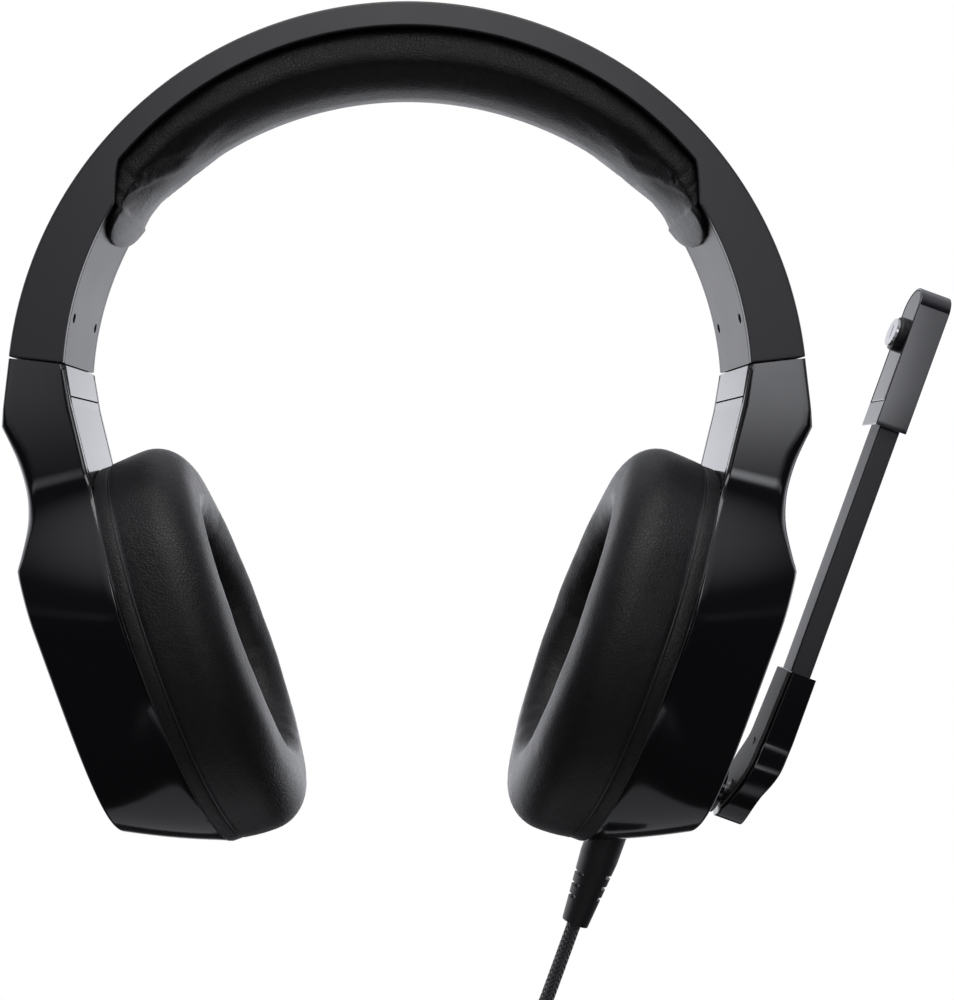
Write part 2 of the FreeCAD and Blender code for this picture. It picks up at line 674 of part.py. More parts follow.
def strain_relief():
    """Rubber sleeve: flange inside the cup, neck, then a taper with staggered slots on both sides."""
    top, neck, end = RELIEF_U
    sleeve = rod(6.4, V(RELIEF_N, 0, top + 2), V(RELIEF_N, 0, top))
    sleeve = sleeve.fuse(rod(RELIEF_R[0], V(RELIEF_N, 0, top), V(RELIEF_N, 0, neck)))
    sleeve = sleeve.fuse(rod(RELIEF_R[0], V(RELIEF_N, 0, neck), V(RELIEF_N, 0, end), RELIEF_R[1]))
    for step in range(3):
        inner_u, outer_u = -83.2 - 3.2 * step, -81.6 - 3.2 * step
        sleeve = sleeve.cut(box(RELIEF_N - 8, RELIEF_N - 2.9, -8, 8, inner_u - 1.0, inner_u))
        sleeve = sleeve.cut(box(RELIEF_N + 2.9, RELIEF_N + 8, -8, 8, outer_u - 1.0, outer_u))
    return sleeve


def bent_tube(points, radius):
    """A tube along straight runs joined by tangent arcs, and the arcs' radii."""
    points = [V(*p) for p in points]
    edges, radii, last = [], [], points[0]
    for before, corner, after in zip(points, points[1:], points[2:]):
        back, ahead = before.sub(corner), after.sub(corner)
        trim = 0.45 * min(back.Length, ahead.Length)
        back.normalize()
        ahead.normalize()
        half_turn = (pi - acos(back.dot(ahead))) / 2
        radii.append(trim / tan(half_turn))
        start, end = corner.add(back * trim), corner.add(ahead * trim)
        towards = back.add(ahead)
        towards.normalize()
        middle = corner.add(towards * (radii[-1] / cos(half_turn) - radii[-1]))
        edges += [Part.LineSegment(last, start).toShape(), Part.Arc(start, middle, end).toShape()]
        last = end
    edges.append(Part.LineSegment(last, points[-1]).toShape())
    path = Part.Wire(edges)
    section = Part.Wire(Part.Circle(points[0], points[1].sub(points[0]), radius).toShape())
    tube = path.makePipeShell([section], True, False)
    print("cord radii", [round(r) for r in radii], "volume over section times length",
          round(tube.Volume / (pi * radius ** 2 * path.Length), 4), "length", round(path.Length, 1))
    return tube, path.Length


def build_cord():
    radius = CORD_DIAMETER / 2
    lead, lead_length = bent_tube(ROUTE, radius)
    turns = COIL_ROWS ** 2
    tail_length = 30.0
    mean = (CORD_LENGTH - lead_length - tail_length) / (2 * pi * (turns + 0.125))
    outer_row = mean + CORD_DIAMETER * (COIL_ROWS - 1) / 2
    inner, outer = mean - CORD_DIAMETER * COIL_ROWS / 2, mean + CORD_DIAMETER * COIL_ROWS / 2
    half = CORD_DIAMETER * COIL_ROWS / 2
    turn = radians(COIL_START)
    x = ROUTE[-1][0] - outer_row * cos(turn)
    z = ROUTE[-1][2] - outer_row * sin(turn)
    print("coil centre", round(x, 2), round(z, 2), "mean radius", round(mean, 2))

    coil = rod(outer, V(x, -half, z), V(x, half, z)).cut(rod(inner, V(x, -half - 1, z), V(x, half + 1, z)))
    coil = coil.makeFillet(1.5, edges_where(coil, lambda p: abs(abs(p.y) - half) < 0.01))
    tie = box(x - 4, x + 4, -half - 1.3, half + 1.3, z + inner - 2.2, z + outer + 1.3)
    tie = tie.cut(box(x - 5, x + 5, -half - 0.1, half + 0.1, z + inner - 1.0, z + outer + 0.1))

    tail_x, tail_y = x - outer_row, 1.5 * CORD_DIAMETER
    tail_end = z - tail_length
    NODES["strain_relief"] = from_cup_frame(strain_relief())
    NODES["cord_lead"] = lead
    NODES["cord_coil"] = coil
    NODES["cord_tie"] = tie
    NODES["cord_tail"] = rod(radius, V(tail_x, tail_y, z), V(tail_x, tail_y, tail_end))
    sleeve = rod(2.4, V(tail_x, tail_y, tail_end), V(tail_x, tail_y, tail_end - 8), 3.0)
    grip = rod(3.6, V(tail_x, tail_y, tail_end - 8), V(tail_x, tail_y, tail_end - 24))
    NODES["plug_body"] = sleeve.fuse(grip)
    NODES["plug_contact"] = plug_contact(V(tail_x, tail_y, tail_end - 24))


def plug_contact(top):
    """3.5 mm four-pole jack: the rings are grooves, and the tip is waisted."""
    radius = 1.75
    def level(depth):
        return V(top.x, top.y, top.z - depth)
    jack = rod(radius, level(0), level(11.6)).fuse(rod(radius, level(11.6), level(14.0), 0.5))
    for groove in (4.6, 7.0, 9.4):
        ring = rod(radius + 0.5, level(groove), level(groove + 0.5)).cut(
            rod(radius - 0.2, level(groove - 0.1), level(groove + 0.6)))
        jack = jack.cut(ring)
    return jack


# ---- build and write ---------------------------------------------------------------------------------
build_headband()
build_cups()
build_microphone()
build_cord()

os.makedirs("parts", exist_ok=True)
for name, shape in NODES.items():
    if not shape.isValid() or not shape.Solids:
        print("NOT VALID", name)
    shape.exportStep("parts/" + name + ".step")
print(len(NODES), "nodes")
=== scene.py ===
"""Looks of the gaming headset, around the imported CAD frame.

Sizes are in millimetres until piece() turns them into metres. The row frame has +Z up, +X the wearer's left
and -Y the wearer's front, with the origin under the pad's crown. Cup points are (n, y, u): n out through the
left cup's plate, u up along the cup. Band points are (angle from the crown in degrees, y, radius).
"""
import json
from math import cos, hypot, pi, radians, sin, sqrt

import bmesh
import bpy
import numpy as np
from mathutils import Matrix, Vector, noise

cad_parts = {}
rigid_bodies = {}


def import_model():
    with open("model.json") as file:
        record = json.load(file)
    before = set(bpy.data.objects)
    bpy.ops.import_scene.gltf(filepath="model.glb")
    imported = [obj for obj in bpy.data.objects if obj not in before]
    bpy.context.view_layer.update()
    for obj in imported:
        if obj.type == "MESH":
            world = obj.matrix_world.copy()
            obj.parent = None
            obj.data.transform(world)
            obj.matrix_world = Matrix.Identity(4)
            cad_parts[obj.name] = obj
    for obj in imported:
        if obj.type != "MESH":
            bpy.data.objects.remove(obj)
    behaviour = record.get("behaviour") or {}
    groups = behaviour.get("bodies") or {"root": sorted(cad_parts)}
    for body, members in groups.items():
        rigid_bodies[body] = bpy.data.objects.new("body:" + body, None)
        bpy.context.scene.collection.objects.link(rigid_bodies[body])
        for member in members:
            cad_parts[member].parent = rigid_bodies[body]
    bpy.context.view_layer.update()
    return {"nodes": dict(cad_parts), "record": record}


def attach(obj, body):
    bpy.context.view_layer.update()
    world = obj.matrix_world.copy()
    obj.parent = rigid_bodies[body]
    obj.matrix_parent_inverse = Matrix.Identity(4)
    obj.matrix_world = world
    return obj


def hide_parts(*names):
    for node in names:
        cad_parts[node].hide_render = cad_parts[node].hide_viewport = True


for leftover in list(bpy.data.objects):
    bpy.data.objects.remove(leftover)
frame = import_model()

# ---- driving sizes, as in the CAD --------------------------------------------------------------------
BAND_RADIUS = 103.0
HALF_BAND = 19.0
BAND_CENTRE_Z = -82.5
BAND_END_ANGLE = 83.5
LIP_RADIUS = 96.7
LIP_ANGLE, LINER_ANGLE = 50.0, 56.0
LINER_R = (91.0, 88.8)
SHELL_INNER = 101.2
PAD_ANGLE = 61.5
PAD_SWEEP = (95.05, 12.55)   # radius of the pad's underside, and how far its centre is below the band's
WALL = 2.0
SEAM_GAP = 0.4
ARM_INNER_R = 88.5           # radius of the arm's inner edge at its seam with the band
KINK = (74.7, 47.0)          # (n, u) where the arm's inner edge bends
TILT = radians(20.0)
CUP_ORIGIN = np.array((0.0, 0.0, -102.0))
RIM_N, PLATE_N = 76.7, 100.4
BAFFLE_N = 73.9
OVAL = (52.3, 41.7)          # ear oval: half height, half depth
CUP_U = -22.5
EAR_OPENING = (30.0, 22.5)
BOOM_N = (113.7, 119.3)
HEAD_N = (111.9, 120.4)
HEAD_U = (56.0, 95.2)
HEAD_HALF = 6.25
CORD = 3.8
CORD_LENGTH = 2000.0
BRAID_PITCH = 11.0
STRANDS_EACH_WAY = 8.0
BRAID_DIP = 0.6              # how much lower a strand lies where it passes under, as a share of its height
BRAID_RELIEF = 0.16

MM = 0.001
OUT = np.array((cos(TILT), 0.0, -sin(TILT)))
UP = np.array((sin(TILT), 0.0, cos(TILT)))


# ---- frames ------------------------------------------------------------------------------------------
def from_cup(points):
    points = np.asarray(points, float)
    return CUP_ORIGIN + points[..., :1] * OUT + points[..., 1:2] * (0.0, 1.0, 0.0) + points[..., 2:] * UP


def from_band(points):
    points = np.asarray(points, float)
    angle, y, radius = np.radians(points[..., 0]), points[..., 1], points[..., 2]
    return np.stack((radius * np.sin(angle), y, BAND_CENTRE_Z + radius * np.cos(angle)), -1)


def seam_point(radius, height):
    """(n, u) of a point on the seam's plane, or height above it, at that radius of the band."""
    lean = radians(90 - BAND_END_ANGLE)
    x = radius * cos(lean) - height * sin(lean)
    z = BAND_CENTRE_Z + radius * sin(lean) + height * cos(lean) - CUP_ORIGIN[2]
    return x * cos(TILT) - z * sin(TILT), x * sin(TILT) + z * cos(TILT)


# ---- mesh helpers ------------------------------------------------------------------------------------
def piece(name, points, faces, side=1):
    """A mesh from row-frame points in millimetres. Side -1 mirrors it to the wearer's right."""
    mesh = bpy.data.meshes.new(name)
    mesh.from_pydata((np.asarray(points, float).reshape(-1, 3) * (side * MM, MM, MM)).tolist(), [], faces)
    work = bmesh.new()
    work.from_mesh(mesh)
    bmesh.ops.remove_doubles(work, verts=work.verts, dist=0.003 * MM)
    bmesh.ops.dissolve_degenerate(work, edges=work.edges, dist=0.001 * MM)
    bmesh.ops.recalc_face_normals(work, faces=work.faces)
    work.to_mesh(mesh)
    work.free()
    mesh.shade_smooth()
    made = bpy.data.objects.new(name, mesh)
    bpy.context.scene.collection.objects.link(made)
    return made


def grid_faces(rows, columns, start=0, closed_rows=False, closed_columns=False):
    faces = []
    for i in range(rows if closed_rows else rows - 1):
        for j in range(columns if closed_columns else columns - 1):
            below, beside = (i + 1) % rows, (j + 1) % columns
            faces.append((start + i * columns + j, start + i * columns + beside,
                          start + below * columns + beside, start + below * columns + j))
    return faces


def swept(name, loops, side=1, capped=True, closed_rows=False):
    """A skin over closed loops of points, one loop a row."""
    loops = np.asarray(loops, float)
    rows, columns = loops.shape[:2]
    faces = grid_faces(rows, columns, closed_rows=closed_rows, closed_columns=True)
    if capped and not closed_rows:
        faces += [tuple(range(columns)), tuple(range((rows - 1) * columns, rows * columns))]
    return piece(name, loops, faces, side)


def crisp(made, bevel=0.3, angle=30.0, segments=3):
    """Rounds the sharp edges by a bevel in millimetres, with flat faces that still shade flat."""
    edge = made.modifiers.new("edge", "BEVEL")
    edge.width = bevel * MM
    edge.segments = segments
    edge.limit_method = "ANGLE"
    edge.angle_limit = radians(angle)
    edge.miter_outer = "MITER_ARC"
    made.modifiers.new("shading", "WEIGHTED_NORMAL").keep_sharp = True
    return made


def rounded_loop(half_y, low, high, radius, steps=4):
    """A rounded rectangle as (y, w) points, w from low to high."""
    radius = min(radius, 0.48 * (high - low), 0.96 * half_y)
    centres = ((half_y - radius, high - radius), (radius - half_y, high - radius),
               (radius - half_y, low + radius), (half_y - radius, low + radius))
    points = []
    for quarter, (y, w) in enumerate(centres):
        for step in range(steps + 1):
            turn = pi / 2 * (quarter + step / steps)
            points.append((y + radius * cos(turn), w + radius * sin(turn)))
    return points


def smooth(value):
    value = min(1.0, max(0.0, value))
    return value * value * (3 - 2 * value)


def blend_over(table, at):
    """A value that eases from one listed place to the next: ((place, value), ...)."""
    if at <= table[0][0]:
        return table[0][1]
    for (place, value), (after, following) in zip(table, table[1:]):
        if at <= after:
            return value + (following - value) * smooth((at - place) / (after - place))
    return table[-1][1]


def arc_through(first, middle, last):
    """n as a function of u on the circle through three (n, u) points."""
    (a, b), (c, d), (e, f) = first, middle, last
    twice = 2 * (a * (d - f) + c * (f - b) + e * (b - d))
    squares = a * a + b * b, c * c + d * d, e * e + f * f
    centre_n = (squares[0] * (d - f) + squares[1] * (f - b) + squares[2] * (b - d)) / twice
    centre_u = (squares[0] * (e - c) + squares[1] * (a - e) + squares[2] * (c - a)) / twice
    radius = hypot(a - centre_n, b - centre_u)
    sign = 1 if c > centre_n else -1
    return lambda u: centre_n + sign * sqrt(max(0.0, radius ** 2 - (u - centre_u) ** 2))


# ---- materials ---------------------------------------------------------------------------------------
def node(tree, kind, settings=None, **values):
    made = tree.nodes.new("ShaderNode" + kind)
    for key, value in (settings or {}).items():
        setattr(made, key, value)
    for key, value in values.items():
        socket = made.inputs[int(key[1:])] if key[0] == "i" and key[1:].isdigit() else made.inputs[
            key.replace("_", " ")]
        if isinstance(value, bpy.types.NodeSocket):
            tree.links.new(value, socket)
        else:
            socket.default_value = value
    return made


def maths(tree, operation, first, second=0.0):
    return node(tree, "Math", {"operation": operation}, i0=first, i1=second).outputs[0]


def ramp(tree, value, *stops):
    """A colour ramp of (place, brightness or colour) stops."""
    made = node(tree, "ValToRGB", Fac=value)
    elements = made.color_ramp.elements
    while len(elements) < len(stops):
        elements.new(0.5)
    for element, (place, colour) in zip(elements, stops):
        element.position = place
        element.color = (*((colour,) * 3 if isinstance(colour, float) else colour), 1.0)
    return made.outputs["Color"]


def shader(name, **values):
    """A new material, its node tree, its principled shader and its object coordinates."""
    material = bpy.data.materials.new(name)
    material.use_nodes = True
    tree = material.node_tree
    principled = tree.nodes["Principled BSDF"]
    for key, value in values.items():
        principled.inputs[key.replace("_", " ")].default_value = value
    place = node(tree, "TexCoord").outputs["Object"]
    return material, tree, principled, place


def bumped(tree, principled, *layers):
    """Stacks bump layers of (height, strength, distance in millimetres)."""
    normal = None
    for height, strength, distance in layers:
        made = node(tree, "Bump", Height=height, Strength=strength, Distance=distance * MM)
        if normal is not None:
            tree.links.new(normal, made.inputs["Normal"])
        normal = made.outputs["Normal"]
    tree.links.new(normal, principled.inputs["Normal"])


def moulded(name, colour, roughness, grain_size, grain, spread=0.05, coat=0.0):
    """Moulded plastic: a fine texture, and gloss that varies a little over the surface."""
    material, tree, principled, place = shader(
        name, Base_Color=(*colour, 1.0), Coat_Weight=coat, Coat_Roughness=0.05)
    fine = node(tree, "TexNoise", Vector=place, Scale=1 / (grain_size * MM), Detail=3.0, Roughness=0.6)
    broad = node(tree, "TexNoise", Vector=place, Scale=60.0, Detail=4.0)
    flow = node(tree, "TexNoise", Vector=place, Scale=12.0, Detail=1.0)
    patchy = maths(tree, "MULTIPLY", broad.outputs["Fac"], spread)
    tree.links.new(maths(tree, "ADD", patchy, roughness - spread / 2), principled.inputs["Roughness"])
    bumped(tree, principled, (flow.outputs["Fac"], 0.05, 0.3), (fine.outputs["Fac"], grain, 0.02))
    return material


def leather(name, colour, roughness, cell=0.85):
    """Grained protein leather: small warped cells with pores, over soft creases, with painted shade darkening
    the grooves between the cells.
    """
    material, tree, principled, place = shader(
        name, Specular_IOR_Level=0.27, Sheen_Weight=0.03, Sheen_Roughness=0.5)
    wander = node(tree, "TexNoise", Vector=place, Scale=330.0, Detail=2.0)
    shifted = node(tree, "VectorMath", {"operation": "MULTIPLY_ADD"}, i0=wander.outputs["Color"],
                   i1=(0.0012, 0.0012, 0.0012), i2=place).outputs[0]
    cells = node(tree, "TexVoronoi", {"feature": "DISTANCE_TO_EDGE"}, Vector=shifted, Scale=1 / (cell * MM))
    grooves = ramp(tree, cells.outputs["Distance"], (0.0, 0.0), (0.16, 0.75), (0.5, 1.0))
    pores = node(tree, "TexNoise", Vector=place, Scale=2600.0, Detail=2.0)
    folds = node(tree, "TexNoise", Vector=place, Scale=150.0, Detail=5.0, Roughness=0.62, Distortion=0.6)
    worn = node(tree, "TexNoise", Vector=place, Scale=45.0, Detail=3.0)
    # painted shade: the colour falls to 0.45 of itself in the grooves between grain cells
    painted_relief_shading = ramp(tree, grooves, (0.0, tuple(0.45 * c for c in colour)), (1.0, colour))
    tree.links.new(painted_relief_shading, principled.inputs["Base Color"])
    dull = maths(tree, "MULTIPLY", worn.outputs["Fac"], 0.12)
    polished = maths(tree, "SUBTRACT", roughness, maths(tree, "MULTIPLY", grooves, 0.06))
    tree.links.new(maths(tree, "ADD", dull, polished), principled.inputs["Roughness"])
    bumped(tree, principled, (folds.outputs["Fac"], 0.35, 0.5), (grooves, 0.55, 0.09),
           (pores.outputs["Fac"], 0.2, 0.02))
    return material


def rubber(name, colour, roughness):
    material, tree, principled, place = shader(name, Base_Color=(*colour, 1.0), Specular_IOR_Level=0.4)
    fine = node(tree, "TexNoise", Vector=place, Scale=2400.0, Detail=3.0)
    patch = node(tree, "TexNoise", Vector=place, Scale=180.0, Detail=3.0)
    varied = maths(tree, "MULTIPLY", patch.outputs["Fac"], 0.12)
    tree.links.new(maths(tree, "ADD", varied, roughness - 0.06), principled.inputs["Roughness"])
    bumped(tree, principled, (fine.outputs["Fac"], 0.25, 0.03))
    return material


def metal(name, colour, roughness, brushed=(1.0, 1.0, 1.0), marks=0.1):
    """Bare or plated metal, with marks drawn out along the axis whose brushed factor is small."""
    material, tree, principled, place = shader(name, Base_Color=(*colour, 1.0), Metallic=1.0)
    drawn = node(tree, "VectorMath", {"operation": "MULTIPLY"}, i0=place, i1=brushed).outputs[0]
    lines = node(tree, "TexNoise", Vector=drawn, Scale=1500.0, Detail=4.0)
    varied = maths(tree, "MULTIPLY", lines.outputs["Fac"], 0.2)
    tree.links.new(maths(tree, "ADD", varied, roughness - 0.1), principled.inputs["Roughness"])
    bumped(tree, principled, (lines.outputs["Fac"], marks, 0.02))
    return material


def weave(name, colour, pitch):
    """Open plain weave, from two crossed waves, with painted shading: lighter on the raised threads, dark in
    the hollows between them.
    """
    material, tree, principled, place = shader(name, Roughness=0.85, Sheen_Weight=0.2)
    split = node(tree, "SeparateXYZ", Vector=place)
    density = 2 * pi / (pitch * MM)
    across = maths(tree, "SINE", maths(tree, "MULTIPLY", split.outputs["Y"], density))
    along = maths(tree, "SINE", maths(tree, "MULTIPLY", split.outputs["Z"], density))
    crossed = maths(tree, "ABSOLUTE", maths(tree, "MULTIPLY", across, along))
    # painted shading: 1.6 times the colour on the raised threads, 0.15 times in the hollows
    shade = ramp(tree, crossed, (0.0, tuple(c * 1.6 for c in colour)), (0.5, colour),
                 (1.0, tuple(c * 0.15 for c in colour)))
    tree.links.new(shade, principled.inputs["Base Color"])
    bumped(tree, principled, (maths(tree, "SUBTRACT", 1.0, crossed), 0.9, 0.15))
    return material


def braid_height(tree, around, along):
    """Height of the braid, from the turns around the cord and the pitches along it."""
    strands = []
    for direction in ("ADD", "SUBTRACT"):
        lean = maths(tree, direction, around, along)
        strands.append(maths(tree, "MULTIPLY", lean, STRANDS_EACH_WAY))
    parity = maths(tree, "ADD", maths(tree, "FLOOR", strands[0]), maths(tree, "FLOOR", strands[1]))
    over = maths(tree, "MULTIPLY", maths(tree, "FRACT", maths(tree, "MULTIPLY", parity, 0.5)), 2.0)
    dip = maths(tree, "MULTIPLY", over, BRAID_DIP)
    crowns = [maths(tree, "SINE", maths(tree, "MULTIPLY", maths(tree, "FRACT", s), pi)) for s in strands]
    upper = maths(tree, "MULTIPLY", crowns[0], maths(tree, "ADD", dip, 1.0 - BRAID_DIP))
    lower = maths(tree, "MULTIPLY", crowns[1], maths(tree, "SUBTRACT", 1.0, dip))
    return maths(tree, "MAXIMUM", upper, lower)


def braided(name, colour):
    """Braided sleeve, with painted shade in the dips between strands and a painted highlight on their crowns.
    The tube's UV map holds turns around it, and braid pitches along it.
    """
    material, tree, principled, _ = shader(name, Roughness=0.5, Sheen_Weight=0.25, Sheen_Roughness=0.4)
    flat = node(tree, "SeparateXYZ", Vector=node(tree, "UVMap").outputs["UV"])
    height = braid_height(tree, flat.outputs["X"], flat.outputs["Y"])
    fibres = node(tree, "TexWave", {"wave_type": "BANDS", "bands_direction": "DIAGONAL"},
                  Vector=node(tree, "UVMap").outputs["UV"], Scale=26.0, Distortion=1.5)
    # painted shading: 0.1 of the colour in the dips between strands, 1.7 times on their crowns
    painted_relief_shading = ramp(tree, height, *((place, tuple(c * share for c in colour))
                                for place, share in ((0.0, 0.1), (0.45, 0.8), (1.0, 1.7))))
    tree.links.new(painted_relief_shading, principled.inputs["Base Color"])
    bumped(tree, principled, (height, 0.9, 0.35), (fibres.outputs["Fac"], 0.15, 0.05))
    return material


SATIN = moulded("satin_plastic", (0.021, 0.021, 0.025), 0.42, 0.35, 0.35)
LINER = moulded("liner_plastic", (0.010, 0.010, 0.011), 0.46, 0.8, 0.08)
GLOSS = moulded("gloss_plastic", (0.0045, 0.0045, 0.0055), 0.13, 1.5, 0.03, 0.05)
HEAD = moulded("head_plastic", (0.009, 0.009, 0.012), 0.12, 0.8, 0.03, 0.04, 0.6)
COVER = moulded("cover_plastic", (0.012, 0.012, 0.013), 0.15, 0.8, 0.05)
DARK = moulded("inner_plastic", (0.010, 0.010, 0.010), 0.5, 0.4, 0.4)
LEATHER = leather("protein_leather", (0.005, 0.005, 0.006), 0.40)
RUBBER = rubber("soft_rubber", (0.007, 0.007, 0.008), 0.48)
PIPING = rubber("piping", (0.010, 0.010, 0.011), 0.42)
STEEL = metal("brushed_steel", (0.42, 0.42, 0.43), 0.34, (1.0, 0.03, 1.0), 0.15)
MAGNET = metal("plated_magnet", (0.5, 0.5, 0.52), 0.25)
GOLD = metal("gold_contact", (0.83, 0.60, 0.25), 0.22)
CAPSULE = metal("capsule_metal", (0.78, 0.78, 0.80), 0.3)
MESH = weave("open_weave", (0.012, 0.012, 0.013), 0.9)
FILM = moulded("film", (0.10, 0.10, 0.11), 0.3, 2.0, 0.05)
BOARD = moulded("circuit_board", (0.01, 0.07, 0.03), 0.4, 0.5, 0.2)
BRAID = braided("cord_braid", (0.020, 0.020, 0.022))
BY_SLOT = {
    "band_satin": SATIN, "gloss_shell": GLOSS, "cover_plastic": COVER, "leatherette": LEATHER,
    "inner_plastic": DARK, "steel": STEEL, "magnet": MAGNET, "diaphragm": FILM, "mesh": MESH, "wire": RUBBER,
    "board": BOARD, "rubber": RUBBER, "capsule_metal": CAPSULE, "cord_braid": BRAID, "gold_contact": GOLD,
}
BY_NODE = {"headband_liner_left": LINER, "headband_liner_right": LINER, "mic_hinge_screw": DARK}


def dressed(made, material, body, slot, *nodes):
    """Gives a piece its material and its body, and hides the CAD nodes that it stands for; the slot is not
    used.
    """
    made.data.materials.clear()
    made.data.materials.append(material)
    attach(made, body)
    if nodes:
        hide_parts(*nodes)
    return made


def dress_cad_nodes():
    """The slot's material and smooth shading on every CAD node, each of whose faces is a separate patch."""
    slots = {s["node"]: s["material_slot"] for s in frame["record"]["subparts"]}
    for name, made in frame["nodes"].items():
        made.data.materials.clear()
        made.data.materials.append(BY_NODE.get(name) or BY_SLOT[slots[name]])
        made.data.shade_smooth()


# ---- camera and cord ---------------------------------------------------------------------------------
def make_camera():
    camera = bpy.data.cameras.new("camera")
    camera.sensor_width = 36.0
    camera.lens = 53.35
    camera.shift_x = 0.07
    camera.shift_y = -0.022
    camera.clip_start = 0.01
    made = bpy.data.objects.new("camera", camera)
    made.location = (0.0, -0.399, -0.102)
    made.rotation_euler = (radians(90), 0.0, 0.0)
    bpy.context.scene.collection.objects.link(made)
    bpy.context.scene.camera = made


ROUTE = [                    # from the strain relief to the first turn of the coil
    (0.04514, 0.0, -0.22157), (0.0407, 0.0, -0.2338), (0.0356, -0.0008, -0.2473), (0.0275, -0.0057, -0.2575),
]
COIL_START = 135.0           # degrees, from +X towards +Z
COIL_TURNS = 16.125
ROWS = 4                     # turns out from the middle, and as many across
TURN_POINTS = 24
TAIL = 30.0                  # how far below the coil's centre the cord ends
LEAD_LENGTH = 41.2           # of cord along ROUTE
SEEN_LENGTH = 40.0           # of cord modelled with its braid in relief
FINE_STEP, COARSE_STEP = 0.22, 1.3
AROUND_CORD = 40
FLAT_RELIEF = 0.6            # the braid's height, from 0 to 1, on the length without relief


def coil_place(turn):
    """(row, column) of a whole turn: down the first column, up the next, and so on."""
    column, step = divmod(min(turn, ROWS * ROWS - 1), ROWS)
    return (step if column % 2 == 0 else ROWS - 1 - step), column


def coil_points(cord_mean):
    """Control points of the wound turns. Later turns step over earlier in the round, so that none meet."""
    outer = cord_mean + CORD * (ROWS - 1) / 2
    centre_x = ROUTE[-1][0] / MM - outer * cos(radians(COIL_START))
    centre_z = ROUTE[-1][2] / MM - outer * sin(radians(COIL_START))
    points, total = [], int(COIL_TURNS * TURN_POINTS)
    for index in range(1, total + 1):
        turn, share = divmod(index / TURN_POINTS, 1.0)
        here, there = coil_place(int(turn)), coil_place(int(turn) + 1)
        window = 2 * (ROWS - 1 - here[1]) - (here[1] != there[1])
        moved = smooth((share - 0.02 - 0.135 * window) / 0.13)
        row = here[0] + (there[0] - here[0]) * moved
        column = here[1] + (there[1] - here[1]) * moved
        radius = (outer - CORD * row) / cos(pi / TURN_POINTS)
        angle = radians(COIL_START + 360.0 * index / TURN_POINTS)
        points.append((centre_x + radius * cos(angle), CORD * (column - (ROWS - 1) / 2),
                       centre_z + radius * sin(angle)))
    return points, (centre_x, 0.0, centre_z)


def route_line(points, resolution):
    """Points along the NURBS spline through these control points, in millimetres."""
    curve = bpy.data.curves.new("route", "CURVE")
    curve.dimensions = "3D"
    curve.resolution_u = resolution
    spline = curve.splines.new("NURBS")
    spline.points.add(len(points) - 1)
    for control, place in zip(spline.points, points):
        control.co = (*(c * MM for c in place), 1.0)
    spline.order_u = 3
    spline.use_endpoint_u = True
    holder = bpy.data.objects.new("route", curve)
    bpy.context.scene.collection.objects.link(holder)
    mesh = bpy.data.meshes.new_from_object(holder)
    line = np.array([v.co for v in mesh.vertices]) / MM
    bpy.data.objects.remove(holder)
    return line


def braid_relief(around, along):
    """The braid's height from 0 to 1, as the material draws it."""
    strands = [STRANDS_EACH_WAY * (around + along), STRANDS_EACH_WAY * (around - along)]
    over = np.mod(np.floor(strands[0]) + np.floor(strands[1]), 2.0)
    crowns = [np.sin(pi * np.mod(s, 1.0)) for s in strands]
    return np.maximum(crowns[0] * (1.0 - BRAID_DIP + BRAID_DIP * over), crowns[1] * (1.0 - BRAID_DIP * over))


def cord_tube(line):
    """A tube along the line, with the braid in relief over SEEN_LENGTH."""
    steps = np.linalg.norm(np.diff(line, axis=0), axis=1)
    reach = np.concatenate(([0.0], np.cumsum(steps)))
    fine = np.arange(0.0, SEEN_LENGTH, FINE_STEP)
    coarse = np.arange(SEEN_LENGTH, reach[-1], COARSE_STEP)
    stations = np.concatenate((fine, coarse, [reach[-1]]))
    path = np.stack([np.interp(stations, reach, line[:, axis]) for axis in range(3)], 1)
    around = AROUND_CORD
    tangents = np.gradient(path, axis=0)
    tangents /= np.linalg.norm(tangents, axis=1)[:, None]
    normal = Vector((0.0, 1.0, 0.0))
    loops, maps = [], []
    turns = np.arange(around) / around
    for place, tangent, station in zip(path, tangents, stations):
        normal = (normal - Vector(tangent) * normal.dot(Vector(tangent))).normalized()
        binormal = Vector(tangent).cross(normal)
        along = station / BRAID_PITCH
        relief = braid_relief(turns, along) if station < SEEN_LENGTH else np.full(around, FLAT_RELIEF)
        radius = CORD / 2 - BRAID_RELIEF + BRAID_RELIEF * relief
        ring = place + radius[:, None] * (np.cos(2 * pi * turns)[:, None] * np.array(normal)
                                          + np.sin(2 * pi * turns)[:, None] * np.array(binormal))
        loops.append(ring)
        maps.append(along)
    loops = np.array(loops)
    rows = len(loops)
    mesh = bpy.data.meshes.new("cord")
    faces = grid_faces(rows, around, closed_columns=True)
    faces += [tuple(reversed(range(around))), tuple(range((rows - 1) * around, rows * around))]
    mesh.from_pydata((loops.reshape(-1, 3) * MM).tolist(), [], faces)
    uv = mesh.uv_layers.new(name="UVMap").data
    for face in mesh.polygons:
        for loop, vertex in zip(face.loop_indices, face.vertices):
            turn = (vertex % around) / around
            last_column = max(v % around for v in face.vertices) == around - 1
            if len(face.vertices) == 4 and turn == 0.0 and last_column:
                turn = 1.0
            uv[loop].uv = (turn, maps[vertex // around])
    work = bmesh.new()
    work.from_mesh(mesh)
    bmesh.ops.recalc_face_normals(work, faces=work.faces)
    work.to_mesh(mesh)
    work.free()
    mesh.shade_smooth()
    made = bpy.data.objects.new("cord", mesh)
    bpy.context.scene.collection.objects.link(made)
    return made, path


